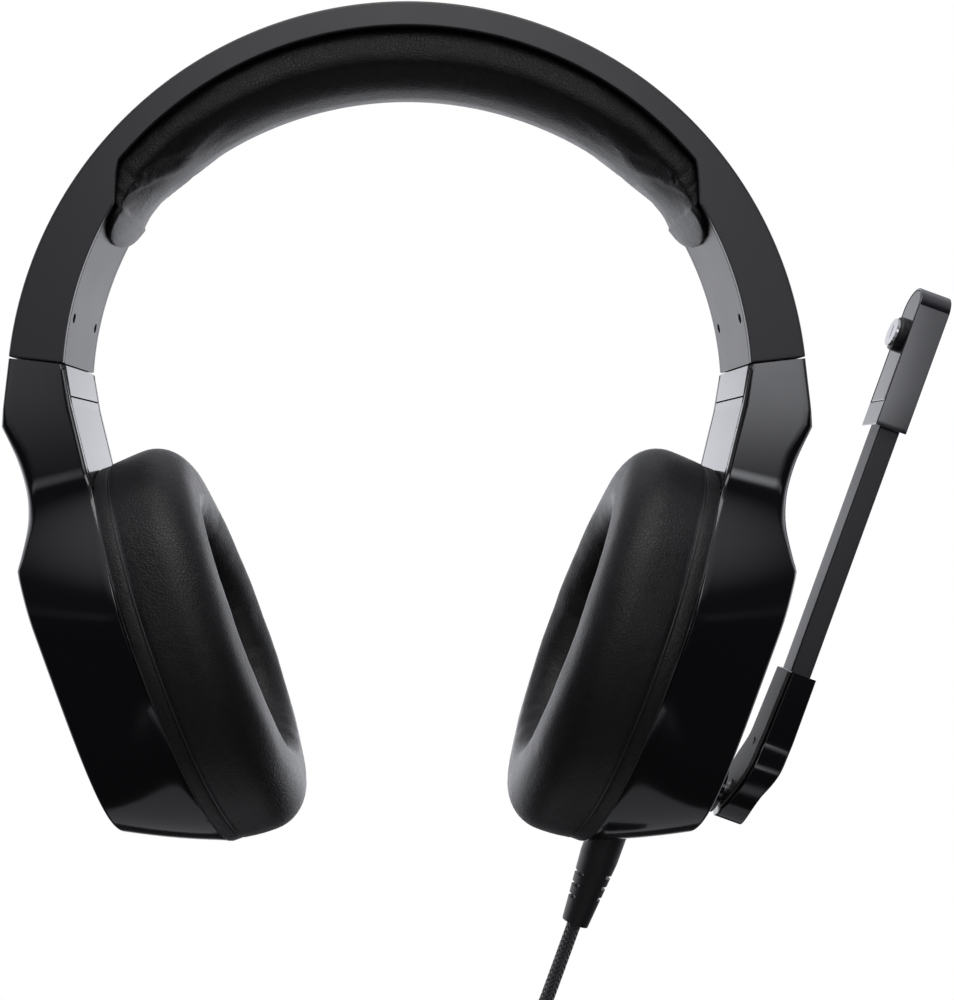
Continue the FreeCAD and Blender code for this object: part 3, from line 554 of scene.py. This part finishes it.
def make_cord():
    mean = (CORD_LENGTH - LEAD_LENGTH - TAIL) / (2 * pi * COIL_TURNS)
    wound, centre = coil_points(mean)
    end = wound[-1]
    tail = [(end[0], end[1], centre[2] - TAIL * share) for share in (0.35, 0.7, 1.0)]
    route = [tuple(c / MM for c in place) for place in ROUTE]
    line = route_line(route + wound + tail, 8)
    made, path = cord_tube(line)
    dressed(made, BRAID, "left_cup", "cord_braid", "cord_lead", "cord_coil", "cord_tail")
    tie = coil_tie(centre, mean)
    return made, path, tie


def coil_tie(centre, mean):
    """A soft strap round the bundle at the top of the coil."""
    half = CORD * ROWS / 2
    width, thick = 8.0, 1.1
    inner = rounded_loop(half + 0.1, mean - half - 0.1, mean + half + 0.1, 1.6, 5)
    outer = rounded_loop(half + thick, mean - half - thick, mean + half + thick, 2.6, 5)
    loops = []
    for (y0, w0), (y1, w1) in zip(inner, outer):
        section = rounded_loop(width / 2, 0.0, 1.0, 0.3, 3)
        loops.append([(centre[0] + x, y0 + (y1 - y0) * share, centre[2] + w0 + (w1 - w0) * share)
                      for x, share in section])
    made = swept("cord_tie_strap", loops, closed_rows=True)
    return dressed(made, RUBBER, "left_cup", "rubber", "cord_tie")


# ---- headband ----------------------------------------------------------------------------------------
def lip(angle):
    """Radius of the band's inner edge."""
    angle = abs(angle)
    if angle >= LINER_ANGLE:
        share = (angle - LINER_ANGLE) / (BAND_END_ANGLE - LINER_ANGLE)
        return LINER_R[0] + (LINER_R[1] - LINER_R[0]) * share
    step = (angle - LIP_ANGLE) / (LINER_ANGLE - LIP_ANGLE)
    return LIP_RADIUS + (LINER_R[0] - LIP_RADIUS) * (0.75 * min(1.0, max(0.0, step)) + 0.25 * smooth(step))


def band_angles(end, step=1.2):
    """Angles from one end to the other, closer together at the steps in the lip."""
    half = sorted(set(np.round(np.concatenate((
        np.arange(0.0, end, step), np.arange(LIP_ANGLE - 1.6, LINER_ANGLE + 1.6, 0.4), [end])), 3)))
    return [-a for a in reversed(half) if a > 0] + half


def headband_shell():
    """The channel: satin outside with a soft outer edge."""
    edge, steps = 0.8, 4
    turns = [pi / 2 * s / steps for s in range(steps + 1)]
    corner = [(HALF_BAND - edge + edge * cos(t), BAND_RADIUS - edge + edge * sin(t)) for t in turns]
    outside = corner + [(HALF_BAND * share, BAND_RADIUS) for share in (0.5, 0.0, -0.5)]
    outside += [(-y, radius) for y, radius in reversed(corner)]
    inside = HALF_BAND - WALL
    loops = []
    for angle in band_angles(BAND_END_ANGLE):
        low = lip(angle)
        section = outside + [(-HALF_BAND, low), (-inside, low), (-inside, SHELL_INNER), (inside, SHELL_INNER),
                             (inside, low), (HALF_BAND, low)]
        loops.append([(angle, y, radius) for y, radius in section])
    made = crisp(swept("headband_channel", from_band(loops)), 0.35)
    return dressed(made, SATIN, "headband", "band_satin", "headband_shell")


def pad_underside(angle):
    radius, drop = PAD_SWEEP
    across = drop * cos(radians(angle))
    return sqrt(across ** 2 + radius ** 2 - drop ** 2) - across


def pad_top(angle):
    """Radius of the pad's top: up inside the channel, and just under the liner at each end."""
    angle = abs(angle)
    return lip(angle) + (1.6 if angle < LINER_ANGLE - 0.3 else -0.1)


PAD_GAP = 0.4                # between the pad's sides and the channel's walls
PAD_TONGUE = 5.0             # degrees over which each end rounds off
PAD_FULL = 12.0              # where the pad is this deep or deeper, it has its whole taper and belly
PAD_TAPER = 0.1              # how much narrower the pad is at its bottom than halfway up
PAD_BELLY = 2.9              # how strongly the underside curves up towards its edges
PAD_HELD = 0.0955            # leather farther than this from the band's centre, in metres, is held still


def headband_pad():
    """Foam pad in leather: full and crowned in the middle, a thin rounded tongue at each end."""
    half = HALF_BAND - WALL - PAD_GAP
    around = 56
    loops = []
    for angle in band_angles(PAD_ANGLE, 1.0):
        high, low = pad_top(angle), pad_underside(angle)
        left_over = min(1.0, (PAD_ANGLE - abs(angle)) / PAD_TONGUE)
        shape = sqrt(max(0.0, 1 - (1 - left_over) ** 2.6))
        width = max(0.6, half * shape)
        full = min(1.0, (high - low) / PAD_FULL)
        loop = []
        for step in range(around):
            turn = 2 * pi * step / around
            c, s = cos(turn), sin(turn)
            y = width * (1 if c > 0 else -1) * abs(c) ** (2 / 5.0)
            rise = (1 if s > 0 else -1) * abs(s) ** (2 / (4.2 if s < 0 else 6.0))
            reach = (high - low) / 2 * (0.35 + 0.65 * shape)
            belly = PAD_BELLY * full * (y / half) ** 2 * abs(rise) if s < 0 else 0.0
            taper = PAD_TAPER * full * abs(rise) ** 2.4 if s < 0 else 0.0
            loop.append((angle, y * (1 - taper), high - reach + reach * rise + belly))
        loops.append(loop)
    made = swept("headband_pad_leather", from_band(loops))
    swell(made, 0.8, lambda point: from_centre(point) > PAD_HELD, 0.0003)
    return dressed(made, LEATHER, "headband", "leatherette", "headband_pad")


def from_centre(point):
    return hypot(point.x, point.z - BAND_CENTRE_Z * MM)


def swell(made, pressure, held, most, frames=16):
    """Inflates a soft piece as cloth, and keeps each point within most metres of where it began."""
    mesh = made.data
    start = np.array([v.co for v in mesh.vertices])
    group = made.vertex_groups.new(name="held")
    group.add([v.index for v in mesh.vertices if held(v.co)], 1.0, "REPLACE")
    cloth = made.modifiers.new("swell", "CLOTH")
    cloth.settings.quality = 8
    cloth.settings.mass = 0.25
    cloth.settings.tension_stiffness = cloth.settings.compression_stiffness = 25.0
    cloth.settings.bending_stiffness = 0.8
    cloth.settings.use_pressure = True
    cloth.settings.uniform_pressure_force = pressure
    cloth.settings.shrink_min = -0.012
    cloth.settings.vertex_group_mass = "held"
    cloth.settings.effector_weights.gravity = 0.0
    cloth.point_cache.frame_end = frames
    scene = bpy.context.scene
    for moment in range(1, frames + 1):
        scene.frame_set(moment)
    moved = made.evaluated_get(bpy.context.evaluated_depsgraph_get()).data
    end = np.array([v.co for v in moved.vertices])
    made.modifiers.clear()
    made.vertex_groups.clear()
    scene.frame_set(1)
    step = end - start
    size = np.linalg.norm(step, axis=1)[:, None]
    step *= np.tanh(size / most) * most / np.maximum(size, 1e-9)
    mesh.vertices.foreach_set("co", (start + step).astype(np.float32).ravel())
    mesh.update()


# ---- arm and cup -------------------------------------------------------------------------------------
# (u, radius) of the rounding between the walls and the outer face
FILLET = ((-60.0, 1.0), (9.0, 1.0), (15.0, 1.8), (24.0, 3.0), (38.0, 3.3), (47.0, 2.2), (53.0, 1.0))
RIM_CHAMFER = 0.35
ARM_ROWS, NECK_ROWS, WAIST_ROWS, BOTTOM_ROWS = 8, 14, 26, 44   # seam to kink, on to shoulder, waist, bottom
SCALLOP_N, SCALLOP_U = 93.1, (11.6, 38.0)   # finger scallop: its depth, its foot and the middle of its hollow


def cup_outline(s, n, inset):
    """(y, u) of the cup's edge at n: s is 0 at the shoulder, 1 at the waist and 2 at the bottom."""
    share = (n - RIM_N) / (PLATE_N - RIM_N)
    arm, widest = HALF_BAND - inset, 42.0 - 10.5 * share - inset
    shoulder, waist = 30.0 + 3.0 * share, -12.0 + 8.0 * share
    if s < 1:
        return arm + (widest - arm) * smooth(s), shoulder + (waist - shoulder) * s
    power = 2.0 + 2.2 * share
    reach = waist + 75.0 - 13.6 * share - inset
    turn = (s - 1) * pi / 2
    c, d = max(0.0, cos(turn)), sin(turn)
    size = (c ** power + d ** power) ** (-1 / power)
    return widest * size * c, waist - reach * size * d


def outer_face(wall):
    """n of the outer face as a function of u, and its upper corner."""
    corner = (SCALLOP_N + 0.6 - 1.1 * wall, 48.0 - 0.4 * wall)
    seam = seam_point(BAND_RADIUS - wall, -SEAM_GAP - wall)

    def face(u):
        if u > corner[1]:
            return corner[0] + (seam[0] - corner[0]) * (u - corner[1]) / (seam[1] - corner[1])
        if u > SCALLOP_U[1]:
            rise = (corner[0] - SCALLOP_N + wall) / (corner[1] - SCALLOP_U[1]) ** 2
            return SCALLOP_N - wall + rise * (u - SCALLOP_U[1]) ** 2
        curved = ((SCALLOP_U[1] - u) / (SCALLOP_U[1] - SCALLOP_U[0])) ** 2.2
        return SCALLOP_N - wall + (PLATE_N - SCALLOP_N) * min(1.0, curved)
    return face, corner


def inner_edge_n(u):
    return RIM_N - max(0.0, u - 29.0) / 9.0


def arm_walls(wall):
    """The front wall's rows from the seam down, each a function from 0, the inner edge, to 1, the corner."""
    face, corner = outer_face(wall)
    side = HALF_BAND - wall

    def straight(inner, outer):
        return lambda t: (inner[0] + (outer[0] - inner[0]) * t, -side, inner[1] + (outer[1] - inner[1]) * t)

    def curved(s):
        outer = PLATE_N - wall
        for _ in range(30):
            outer = face(cup_outline(s, outer, wall)[1])
        inner = inner_edge_n(cup_outline(s, RIM_N, wall)[1])

        def at(t):
            n = inner + (outer - inner) * t
            y, u = cup_outline(s, n, wall)
            return n, -y, u
        return at

    seam = seam_point(ARM_INNER_R, -SEAM_GAP - wall), seam_point(BAND_RADIUS - wall, -SEAM_GAP - wall)
    kink = KINK, corner
    rows = []
    for step in range(ARM_ROWS):
        share = step / ARM_ROWS
        ends = [tuple(a + (b - a) * share for a, b in zip(top, low)) for top, low in zip(seam, kink)]
        rows.append(straight(*ends))
    shoulder = curved(0.0)
    inner, outer = shoulder(0.0), shoulder(1.0)
    for step in range(NECK_ROWS):
        share = step / NECK_ROWS
        low = KINK[1] + (inner[2] - KINK[1]) * share
        high = corner[1] + (outer[2] - corner[1]) * share
        rows.append(straight((inner_edge_n(low), low), (face(high), high)))
    rows += [curved(step / WAIST_ROWS) for step in range(WAIST_ROWS)]
    rows += [curved(1 + step / BOTTOM_ROWS) for step in range(BOTTOM_ROWS + 1)]
    return rows, face


def arm_sheet(wall):
    """Rows of points round the arm and cup, front inner edge to back inner edge."""
    walls, face = arm_walls(wall)
    corners = [np.array(row(1.0)) for row in walls]
    wall_steps, arc_steps, face_steps = 12, 7, 12
    sheet = []
    for index, row in enumerate(walls):
        corner = corners[index]
        length = np.linalg.norm(corner - np.array(row(0.0)))
        radius = max(0.5, blend_over(FILLET, corner[2]) - 0.8 * wall)
        before, after = corners[max(0, index - 1)], corners[min(len(walls) - 1, index + 1)]
        along = np.array((after[1] - before[1], after[2] - before[2]))
        if index <= ARM_ROWS + NECK_ROWS or np.linalg.norm(along) < 1e-9:
            inward = np.array((1.0, 0.0))
        else:
            inward = np.array((-along[1], along[0])) / np.linalg.norm(along)
        if index == len(walls) - 1:
            inward = np.array((0.0, 1.0))
        start = np.array(row(1 - radius / length))
        end = corner.copy()
        end[1:] += radius * inward
        end[1] = min(end[1], 0.0)
        end[0] = face(end[2]) if index >= ARM_ROWS else corner[0]
        front = [np.array(row(t)) for t in np.linspace(0, 1 - radius / length, wall_steps)][:-1]
        for step in range(arc_steps + 1):
            t = step / arc_steps
            weights = np.array(((1 - t) ** 2, 2 * t * (1 - t) * cos(pi / 4), t ** 2))
            front.append((weights[0] * start + weights[1] * corner + weights[2] * end) / weights.sum())
        back = [p * (1, -1, 1) for p in reversed(front)]
        middle = [front[-1] + (back[0] - front[-1]) * step / face_steps for step in range(1, face_steps)]
        sheet.append(front + middle + back)
    return np.array(sheet)


def arm_housing(side, body, name):
    """Arm and cup in one gloss moulding, open on the ear's side, with a chamfered rim."""
    outer, inner = arm_sheet(0.0), arm_sheet(WALL)
    rim = [np.array([row(0.0) for row in arm_walls(inset)[0]]) for inset in (RIM_CHAMFER, WALL - RIM_CHAMFER)]
    back = [edge * (1, -1, 1) for edge in rim]
    for sheet in (outer, inner):
        sheet[:, (0, -1), 0] += RIM_CHAMFER
    loops = np.concatenate((outer, back[0][:, None], back[1][:, None], inner[:, ::-1], rim[1][:, None],
                            rim[0][:, None]), 1)
    rows, columns = loops.shape[:2]
    faces = grid_faces(rows, columns, closed_columns=True) + [tuple(range(columns))]
    made = piece("arm_shell_" + name, from_cup(loops), faces, side)
    made.data.set_sharp_from_angle(angle=radians(60))
    made.modifiers.new("shading", "WEIGHTED_NORMAL").keep_sharp = True
    return dressed(made, GLOSS, body, "gloss_shell", "arm_housing_" + name)


COVER_JOIN, COVER_GAP = 49.5, 0.4
COVER_END_U, COVER_TOP_U = 25.5, 80.0    # the upper cover is cut off at the seam, below COVER_TOP_U


def arm_cover(side, body, name, low, high):
    """Cover between the arm's walls: a thin plate that follows the arm's inner edge."""
    thick, half = 1.7, HALF_BAND - WALL - 0.2
    top = seam_point(ARM_INNER_R, -SEAM_GAP)
    bend_n, bend = KINK
    path = [(inner_edge_n(u), u) for u in np.linspace(low, min(high, bend), 5)] if low < bend else []
    for u in np.linspace(max(low, bend), min(high, top[1]), 6):
        path.append((bend_n + (top[0] - bend_n) * (u - bend) / (top[1] - bend), u))
    loops = [[(n + w, y, u) for y, w in rounded_loop(half, 0.0, thick, 0.3, 3)] for n, u in path]
    label = "upper" if low > COVER_JOIN else "lower"
    made = crisp(swept(f"arm_cover_{label}_plate_{name}", from_cup(loops), side), 0.25)
    return dressed(made, COVER, body, "cover_plastic", f"arm_cover_{label}_{name}")


def oval(turn, grow_u, grow_y):
    return grow_y * cos(turn), CUP_U + grow_u * sin(turn)


CUSHION_TOP, PIPING_N, SKIRT_N = 52.7, 72.4, 76.3
SHOULDER_N = 63.5            # where the cushion is widest
AROUND_OVAL = 168


def cushion_section():
    """(share from the opening to the outside, n) round the section: the skirt laps over the baffle's edge."""
    section = [(1.003, SKIRT_N), (1.012, SKIRT_N + 0.05), (1.02, SKIRT_N - 0.5), (1.02, PIPING_N + 1.2),
               (1.012, PIPING_N + 0.5), (0.995, PIPING_N)]
    for n in (71.6, 70.4, 68.7, 66.9, 65.2):
        section.append((1.0 + 0.035 * sqrt(1 - ((n - SHOULDER_N) / (PIPING_N - SHOULDER_N)) ** 2), n))
    height = SHOULDER_N - CUSHION_TOP
    for step in range(27):
        turn = pi * step / 26
        c, s = cos(turn), sin(turn)
        reach, power = (0.535, 2.1) if c > 0 else (0.5, 2.3)
        section.append((0.5 + reach * (1 if c > 0 else -1) * abs(c) ** (2 / power),
                        SHOULDER_N - height * abs(s) ** (2 / power)))
    foot = BAFFLE_N - 0.1
    section += [(0.0, 66.5), (0.0, 69.5), (0.01, 72.0), (0.04, foot), (0.3, foot), (0.7, foot), (1.003, foot)]
    return section


def ear_cushion(side, body, name):
    """Leather ring: skirt, piping line, then a full round section that rolls into the ear opening."""
    section = cushion_section()
    loops = []
    for step in range(AROUND_OVAL):
        turn = 2 * pi * step / AROUND_OVAL
        inner, outer = np.array(oval(turn, *EAR_OPENING)), np.array(oval(turn, *OVAL))
        loop = []
        for share, n in section:
            y, u = inner + (outer - inner) * share
            loop.append((n, y, u))
        loops.append(loop)
    made = swept("ear_cushion_leather_" + name, from_cup(loops), side, closed_rows=True)

    def held(point):
        local = np.array(point) / MM * (side, 1, 1) - CUP_ORIGIN
        return local @ OUT > PIPING_N - 0.6

    swell(made, 3.0, held, 0.0009)
    wrinkle(made, side)
    return dressed(made, LEATHER, body, "leatherette", "ear_cushion_" + name)


def wrinkle(made, side):
    """Faint creases that run into the opening, and a slightly uneven surface."""
    for vertex in made.data.vertices:
        local = np.array(vertex.co) / MM * (side, 1, 1) - CUP_ORIGIN
        n, y, u = local @ OUT, local[1], local @ UP
        across, up = y / EAR_OPENING[1], (u - CUP_U) / EAR_OPENING[0]
        nearness = smooth((1.55 - hypot(across, up)) / 0.5) * smooth((PIPING_N - n) / 6)
        turn = np.arctan2(up, across)
        fold = noise.noise((9 * cos(turn), 9 * sin(turn), n / 26 + 3 * side)) * 0.22 * nearness
        soft = noise.noise((y / 13, u / 13, n / 13)) * 0.22 * smooth((PIPING_N - n) / 4)
        vertex.co += vertex.normal * (fold + soft) * MM


def piping(side, body, name):
    """The rolled edge between the cushion's skirt and its body."""
    loops = []
    radius = 0.55
    for step in range(AROUND_OVAL):
        turn = 2 * pi * step / AROUND_OVAL
        inner, outer = np.array(oval(turn, *EAR_OPENING)), np.array(oval(turn, *OVAL))
        y, u = inner + (outer - inner) * 1.005
        outward = np.array((y, u - CUP_U)) / np.array((OVAL[1], OVAL[0])) ** 2
        outward /= np.linalg.norm(outward)
        loop = []
        for t in np.linspace(0, 2 * pi, 10, endpoint=False):
            rise, reach = radius * sin(t), radius * cos(t)
            loop.append((PIPING_N + rise, y + reach * outward[0], u + reach * outward[1]))
        loops.append(loop)
    made = swept("cushion_piping_" + name, from_cup(loops), side, closed_rows=True)
    return dressed(made, PIPING, body, "leatherette")


def make_cups():
    for side, name in ((1, "left"), (-1, "right")):
        body = name + "_cup"
        arm_housing(side, body, name)
        arm_cover(side, body, name, COVER_JOIN + COVER_GAP / 2, COVER_TOP_U)
        arm_cover(side, body, name, COVER_END_U, COVER_JOIN - COVER_GAP / 2)
        ear_cushion(side, body, name)
        piping(side, body, name)


# ---- microphone --------------------------------------------------------------------------------------
HINGE_TOP, HINGE_WIDEST = -13.4, -41.0       # u of the hinge arm's top, and of its widest place
HINGE_HALF, HINGE_REACH = 8.0, 16.0          # its half depth there, and how far its foot is below


def hinge_faces():
    """n of the hinge arm's outer and inner faces, and its half depth, as functions of u."""
    bend = arc_through((120.5, -31.0), (119.5, -39.5), (117.2, -46.5))
    foot = arc_through((117.2, -46.5), (116.3, -51.0), (116.1, -57.0))
    socket = arc_through((107.6, -54.0), (110.2, -43.5), (111.9, -32.4))

    def outer(u):
        return 120.5 if u > -31.0 else bend(u) if u > -46.5 else foot(u)

    def inner(u):
        return 112.6 - 0.7 * (HINGE_TOP - u) / 19.0 if u > -32.4 else socket(u) if u > -54.0 else 107.6

    def half(u):
        if u > HINGE_WIDEST:
            return 6.1 + 1.9 * smooth((-33.0 - u) / 8.0)
        return HINGE_HALF * sqrt(max(0.0, 1 - ((u - HINGE_WIDEST) / HINGE_REACH) ** 2))

    return outer, inner, half


def hinge_arm():
    outer, inner, half = hinge_faces()
    foot = [HINGE_WIDEST - HINGE_REACH * sin(t) for t in np.linspace(0, pi / 2, 26)][1:]
    levels = list(np.linspace(HINGE_TOP, HINGE_WIDEST, 26)) + foot
    loops = []
    for u in levels:
        section = rounded_loop(max(0.25, half(u)), inner(u) + 1.0, outer(u), 0.6)
        loops.append([(w, y, u) for y, w in section])
    made = crisp(swept("mic_hinge_socket", from_cup(loops)), 0.25, 50)
    dressed(made, GLOSS, "microphone", "gloss_shell", "mic_hinge_arm")
    loops = []
    for u in np.linspace(HINGE_TOP - 0.2, -53.0, 32):
        section = rounded_loop(half(u) - 0.35, inner(u), inner(u) + 0.95, 0.25, 2)
        loops.append([(w, y, u) for y, w in section])
    plate = crisp(swept("mic_hinge_plate", from_cup(loops)), 0.2, 50)
    return dressed(plate, DARK, "microphone", "cover_plastic", "mic_hinge_cover")


def boom_bar():
    levels = (-25.0, 10.0, 40.0, 62.0)
    loops = [[(w, y, u) for y, w in rounded_loop(4.4, *BOOM_N, 0.6, 4)] for u in levels]
    made = crisp(swept("mic_boom_bar", from_cup(loops)), 0.2, 50)
    return dressed(made, SATIN, "microphone", "band_satin", "mic_boom_tube")


def head_loop(inset, n, bottom):
    """The head's outline at n: straight sides, square foot and a half-round top."""
    half, middle = HEAD_HALF - inset, HEAD_U[1] - 5.2
    spread = radians(79.5)   # half the angle of the end's arc, which meets the sides at a faint crease
    radius = half / sin(spread)
    centre = middle - radius * cos(spread)
    loop = [(n, half * share, bottom) for share in (-1.0, -0.95, 0.95, 1.0)]
    loop += [(n, half, bottom + (middle - bottom) * share) for share in (0.04, 0.96)]
    loop += [(n, radius * sin(t), centre + radius * cos(t)) for t in np.linspace(spread, -spread, 33)]
    return loop + [(n, -half, bottom + (middle - bottom) * share) for share in (0.96, 0.04)]


def mic_head():
    low, high = HEAD_N
    seam = HEAD_U[0] + 6.7
    layers = [(0.0, high, HEAD_U[0]), (0.0, low, HEAD_U[0]), (0.6, low, seam), (0.6, low + 1.2, seam)]
    made = crisp(swept("mic_head_shell", from_cup([head_loop(*layer) for layer in layers])), 0.35, 9)
    dressed(made, HEAD, "microphone", "band_satin", "mic_head_housing")
    layers = [(0.8, low + 0.05, seam + 0.2), (0.8, low + 1.15, seam + 0.2)]
    plate = crisp(swept("mic_head_plate", from_cup([head_loop(*layer) for layer in layers])), 0.3, 40)
    return dressed(plate, HEAD, "microphone", "cover_plastic", "mic_head_cover")


def make_microphone():
    hinge_arm()
    boom_bar()
    mic_head()


# ---- stage -------------------------------------------------------------------------------------------
def make_stage():
    """White studio: a pale floor, a world of soft bright regions, and two soft lights."""
    bpy.context.scene.view_settings.view_transform = "Standard"
    make_floor()
    make_world()
    soft_light("top", (0.0, -0.34, 0.62), (0.7, 0.35), 3.0, (0.0, 0.0, -0.05))
    soft_light("front", (0.0, -0.75, 0.26), (0.22, 0.28), 1.0, (0.0, 0.0, -0.08))


def make_floor():
    """A pale disc far enough below to be out of the camera's view."""
    work = bmesh.new()
    bmesh.ops.create_circle(work, cap_ends=True, segments=96, radius=0.5)
    mesh = bpy.data.meshes.new("floor")
    work.to_mesh(mesh)
    work.free()
    floor = bpy.data.objects.new("floor", mesh)
    floor.location = (0.0, 0.0, -1.0)
    bpy.context.scene.collection.objects.link(floor)
    material, _, _, _ = shader("floor", Base_Color=(0.7, 0.7, 0.7, 1.0), Roughness=0.9)
    mesh.materials.append(material)


def make_world():
    """Light from soft bright regions all round, by direction. The camera itself sees plain white."""
    world = bpy.data.worlds.new("studio")
    bpy.context.scene.world = world
    world.use_nodes = True
    tree = world.node_tree
    tree.nodes.clear()
    direction = node(tree, "SeparateXYZ", Vector=node(tree, "TexCoord").outputs["Generated"])
    x, y, z = (direction.outputs[axis] for axis in "XYZ")

    def rise(value, low, high):
        return node(tree, "MapRange", {"interpolation_type": "SMOOTHSTEP"}, Value=value, From_Min=low,
                    From_Max=high).outputs["Result"]

    def product(strength, *factors):
        total = factors[0]
        for factor in factors[1:]:
            total = maths(tree, "MULTIPLY", total, factor)
        return maths(tree, "MULTIPLY", total, strength)

    behind = product(1.7, rise(y, 0.0, 0.6), maths(tree, "ADD", rise(z, 0.42, -0.02), 0.22),
                     rise(z, -0.62, -0.08))
    above = product(0.8, rise(z, 0.5, 0.95))
    wide = maths(tree, "ABSOLUTE", x)
    low_band = product(0.7, rise(z, -0.62, -0.54), rise(z, -0.40, -0.48), rise(y, -0.1, -0.4),
                       rise(wide, 0.6, 0.3))
    sides = product(1.5, rise(wide, 0.75, 0.92), rise(y, -0.3, 0.2), rise(z, -0.6, 0.0))
    level = product(1.0, rise(z, 0.0, 0.06), rise(z, 0.26, 0.12), rise(y, -0.2, -0.6))
    near = maths(tree, "ADD", maths(tree, "MULTIPLY", rise(x, 0.34, 0.26), 0.78), 0.22)
    right = product(4.6, level, rise(x, 0.04, 0.22), rise(x, 0.9, 0.55), near)
    left = product(1.1, level, rise(x, -0.06, -0.3), rise(x, -0.9, -0.55))
    total = maths(tree, "ADD", 0.03, behind)
    for box in (above, low_band, sides, right, left):
        total = maths(tree, "ADD", total, box)
    studio = node(tree, "Background", Color=(0.97, 0.98, 1.04, 1.0), Strength=total)
    seen = node(tree, "Background", Color=(1.0, 1.0, 1.0, 1.0), Strength=1.0)
    mixed = node(tree, "MixShader", i0=node(tree, "LightPath").outputs["Is Camera Ray"],
                 i1=studio.outputs[0], i2=seen.outputs[0])
    node(tree, "OutputWorld", Surface=mixed.outputs[0])


def soft_light(name, place, size, power, target):
    light = bpy.data.lights.new(name, "AREA")
    light.shape = "RECTANGLE"
    light.size, light.size_y = size
    light.energy = power
    made = bpy.data.objects.new(name, light)
    made.location = place
    made.rotation_euler = (Vector(target) - Vector(place)).to_track_quat("-Z", "Y").to_euler()
    bpy.context.scene.collection.objects.link(made)


# ---- making ------------------------------------------------------------------------------------------
dress_cad_nodes()
make_camera()
cord, cord_path, tie = make_cord()
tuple(ROUTE[0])
headband_shell()
headband_pad()
make_cups()
make_microphone()
make_stage()
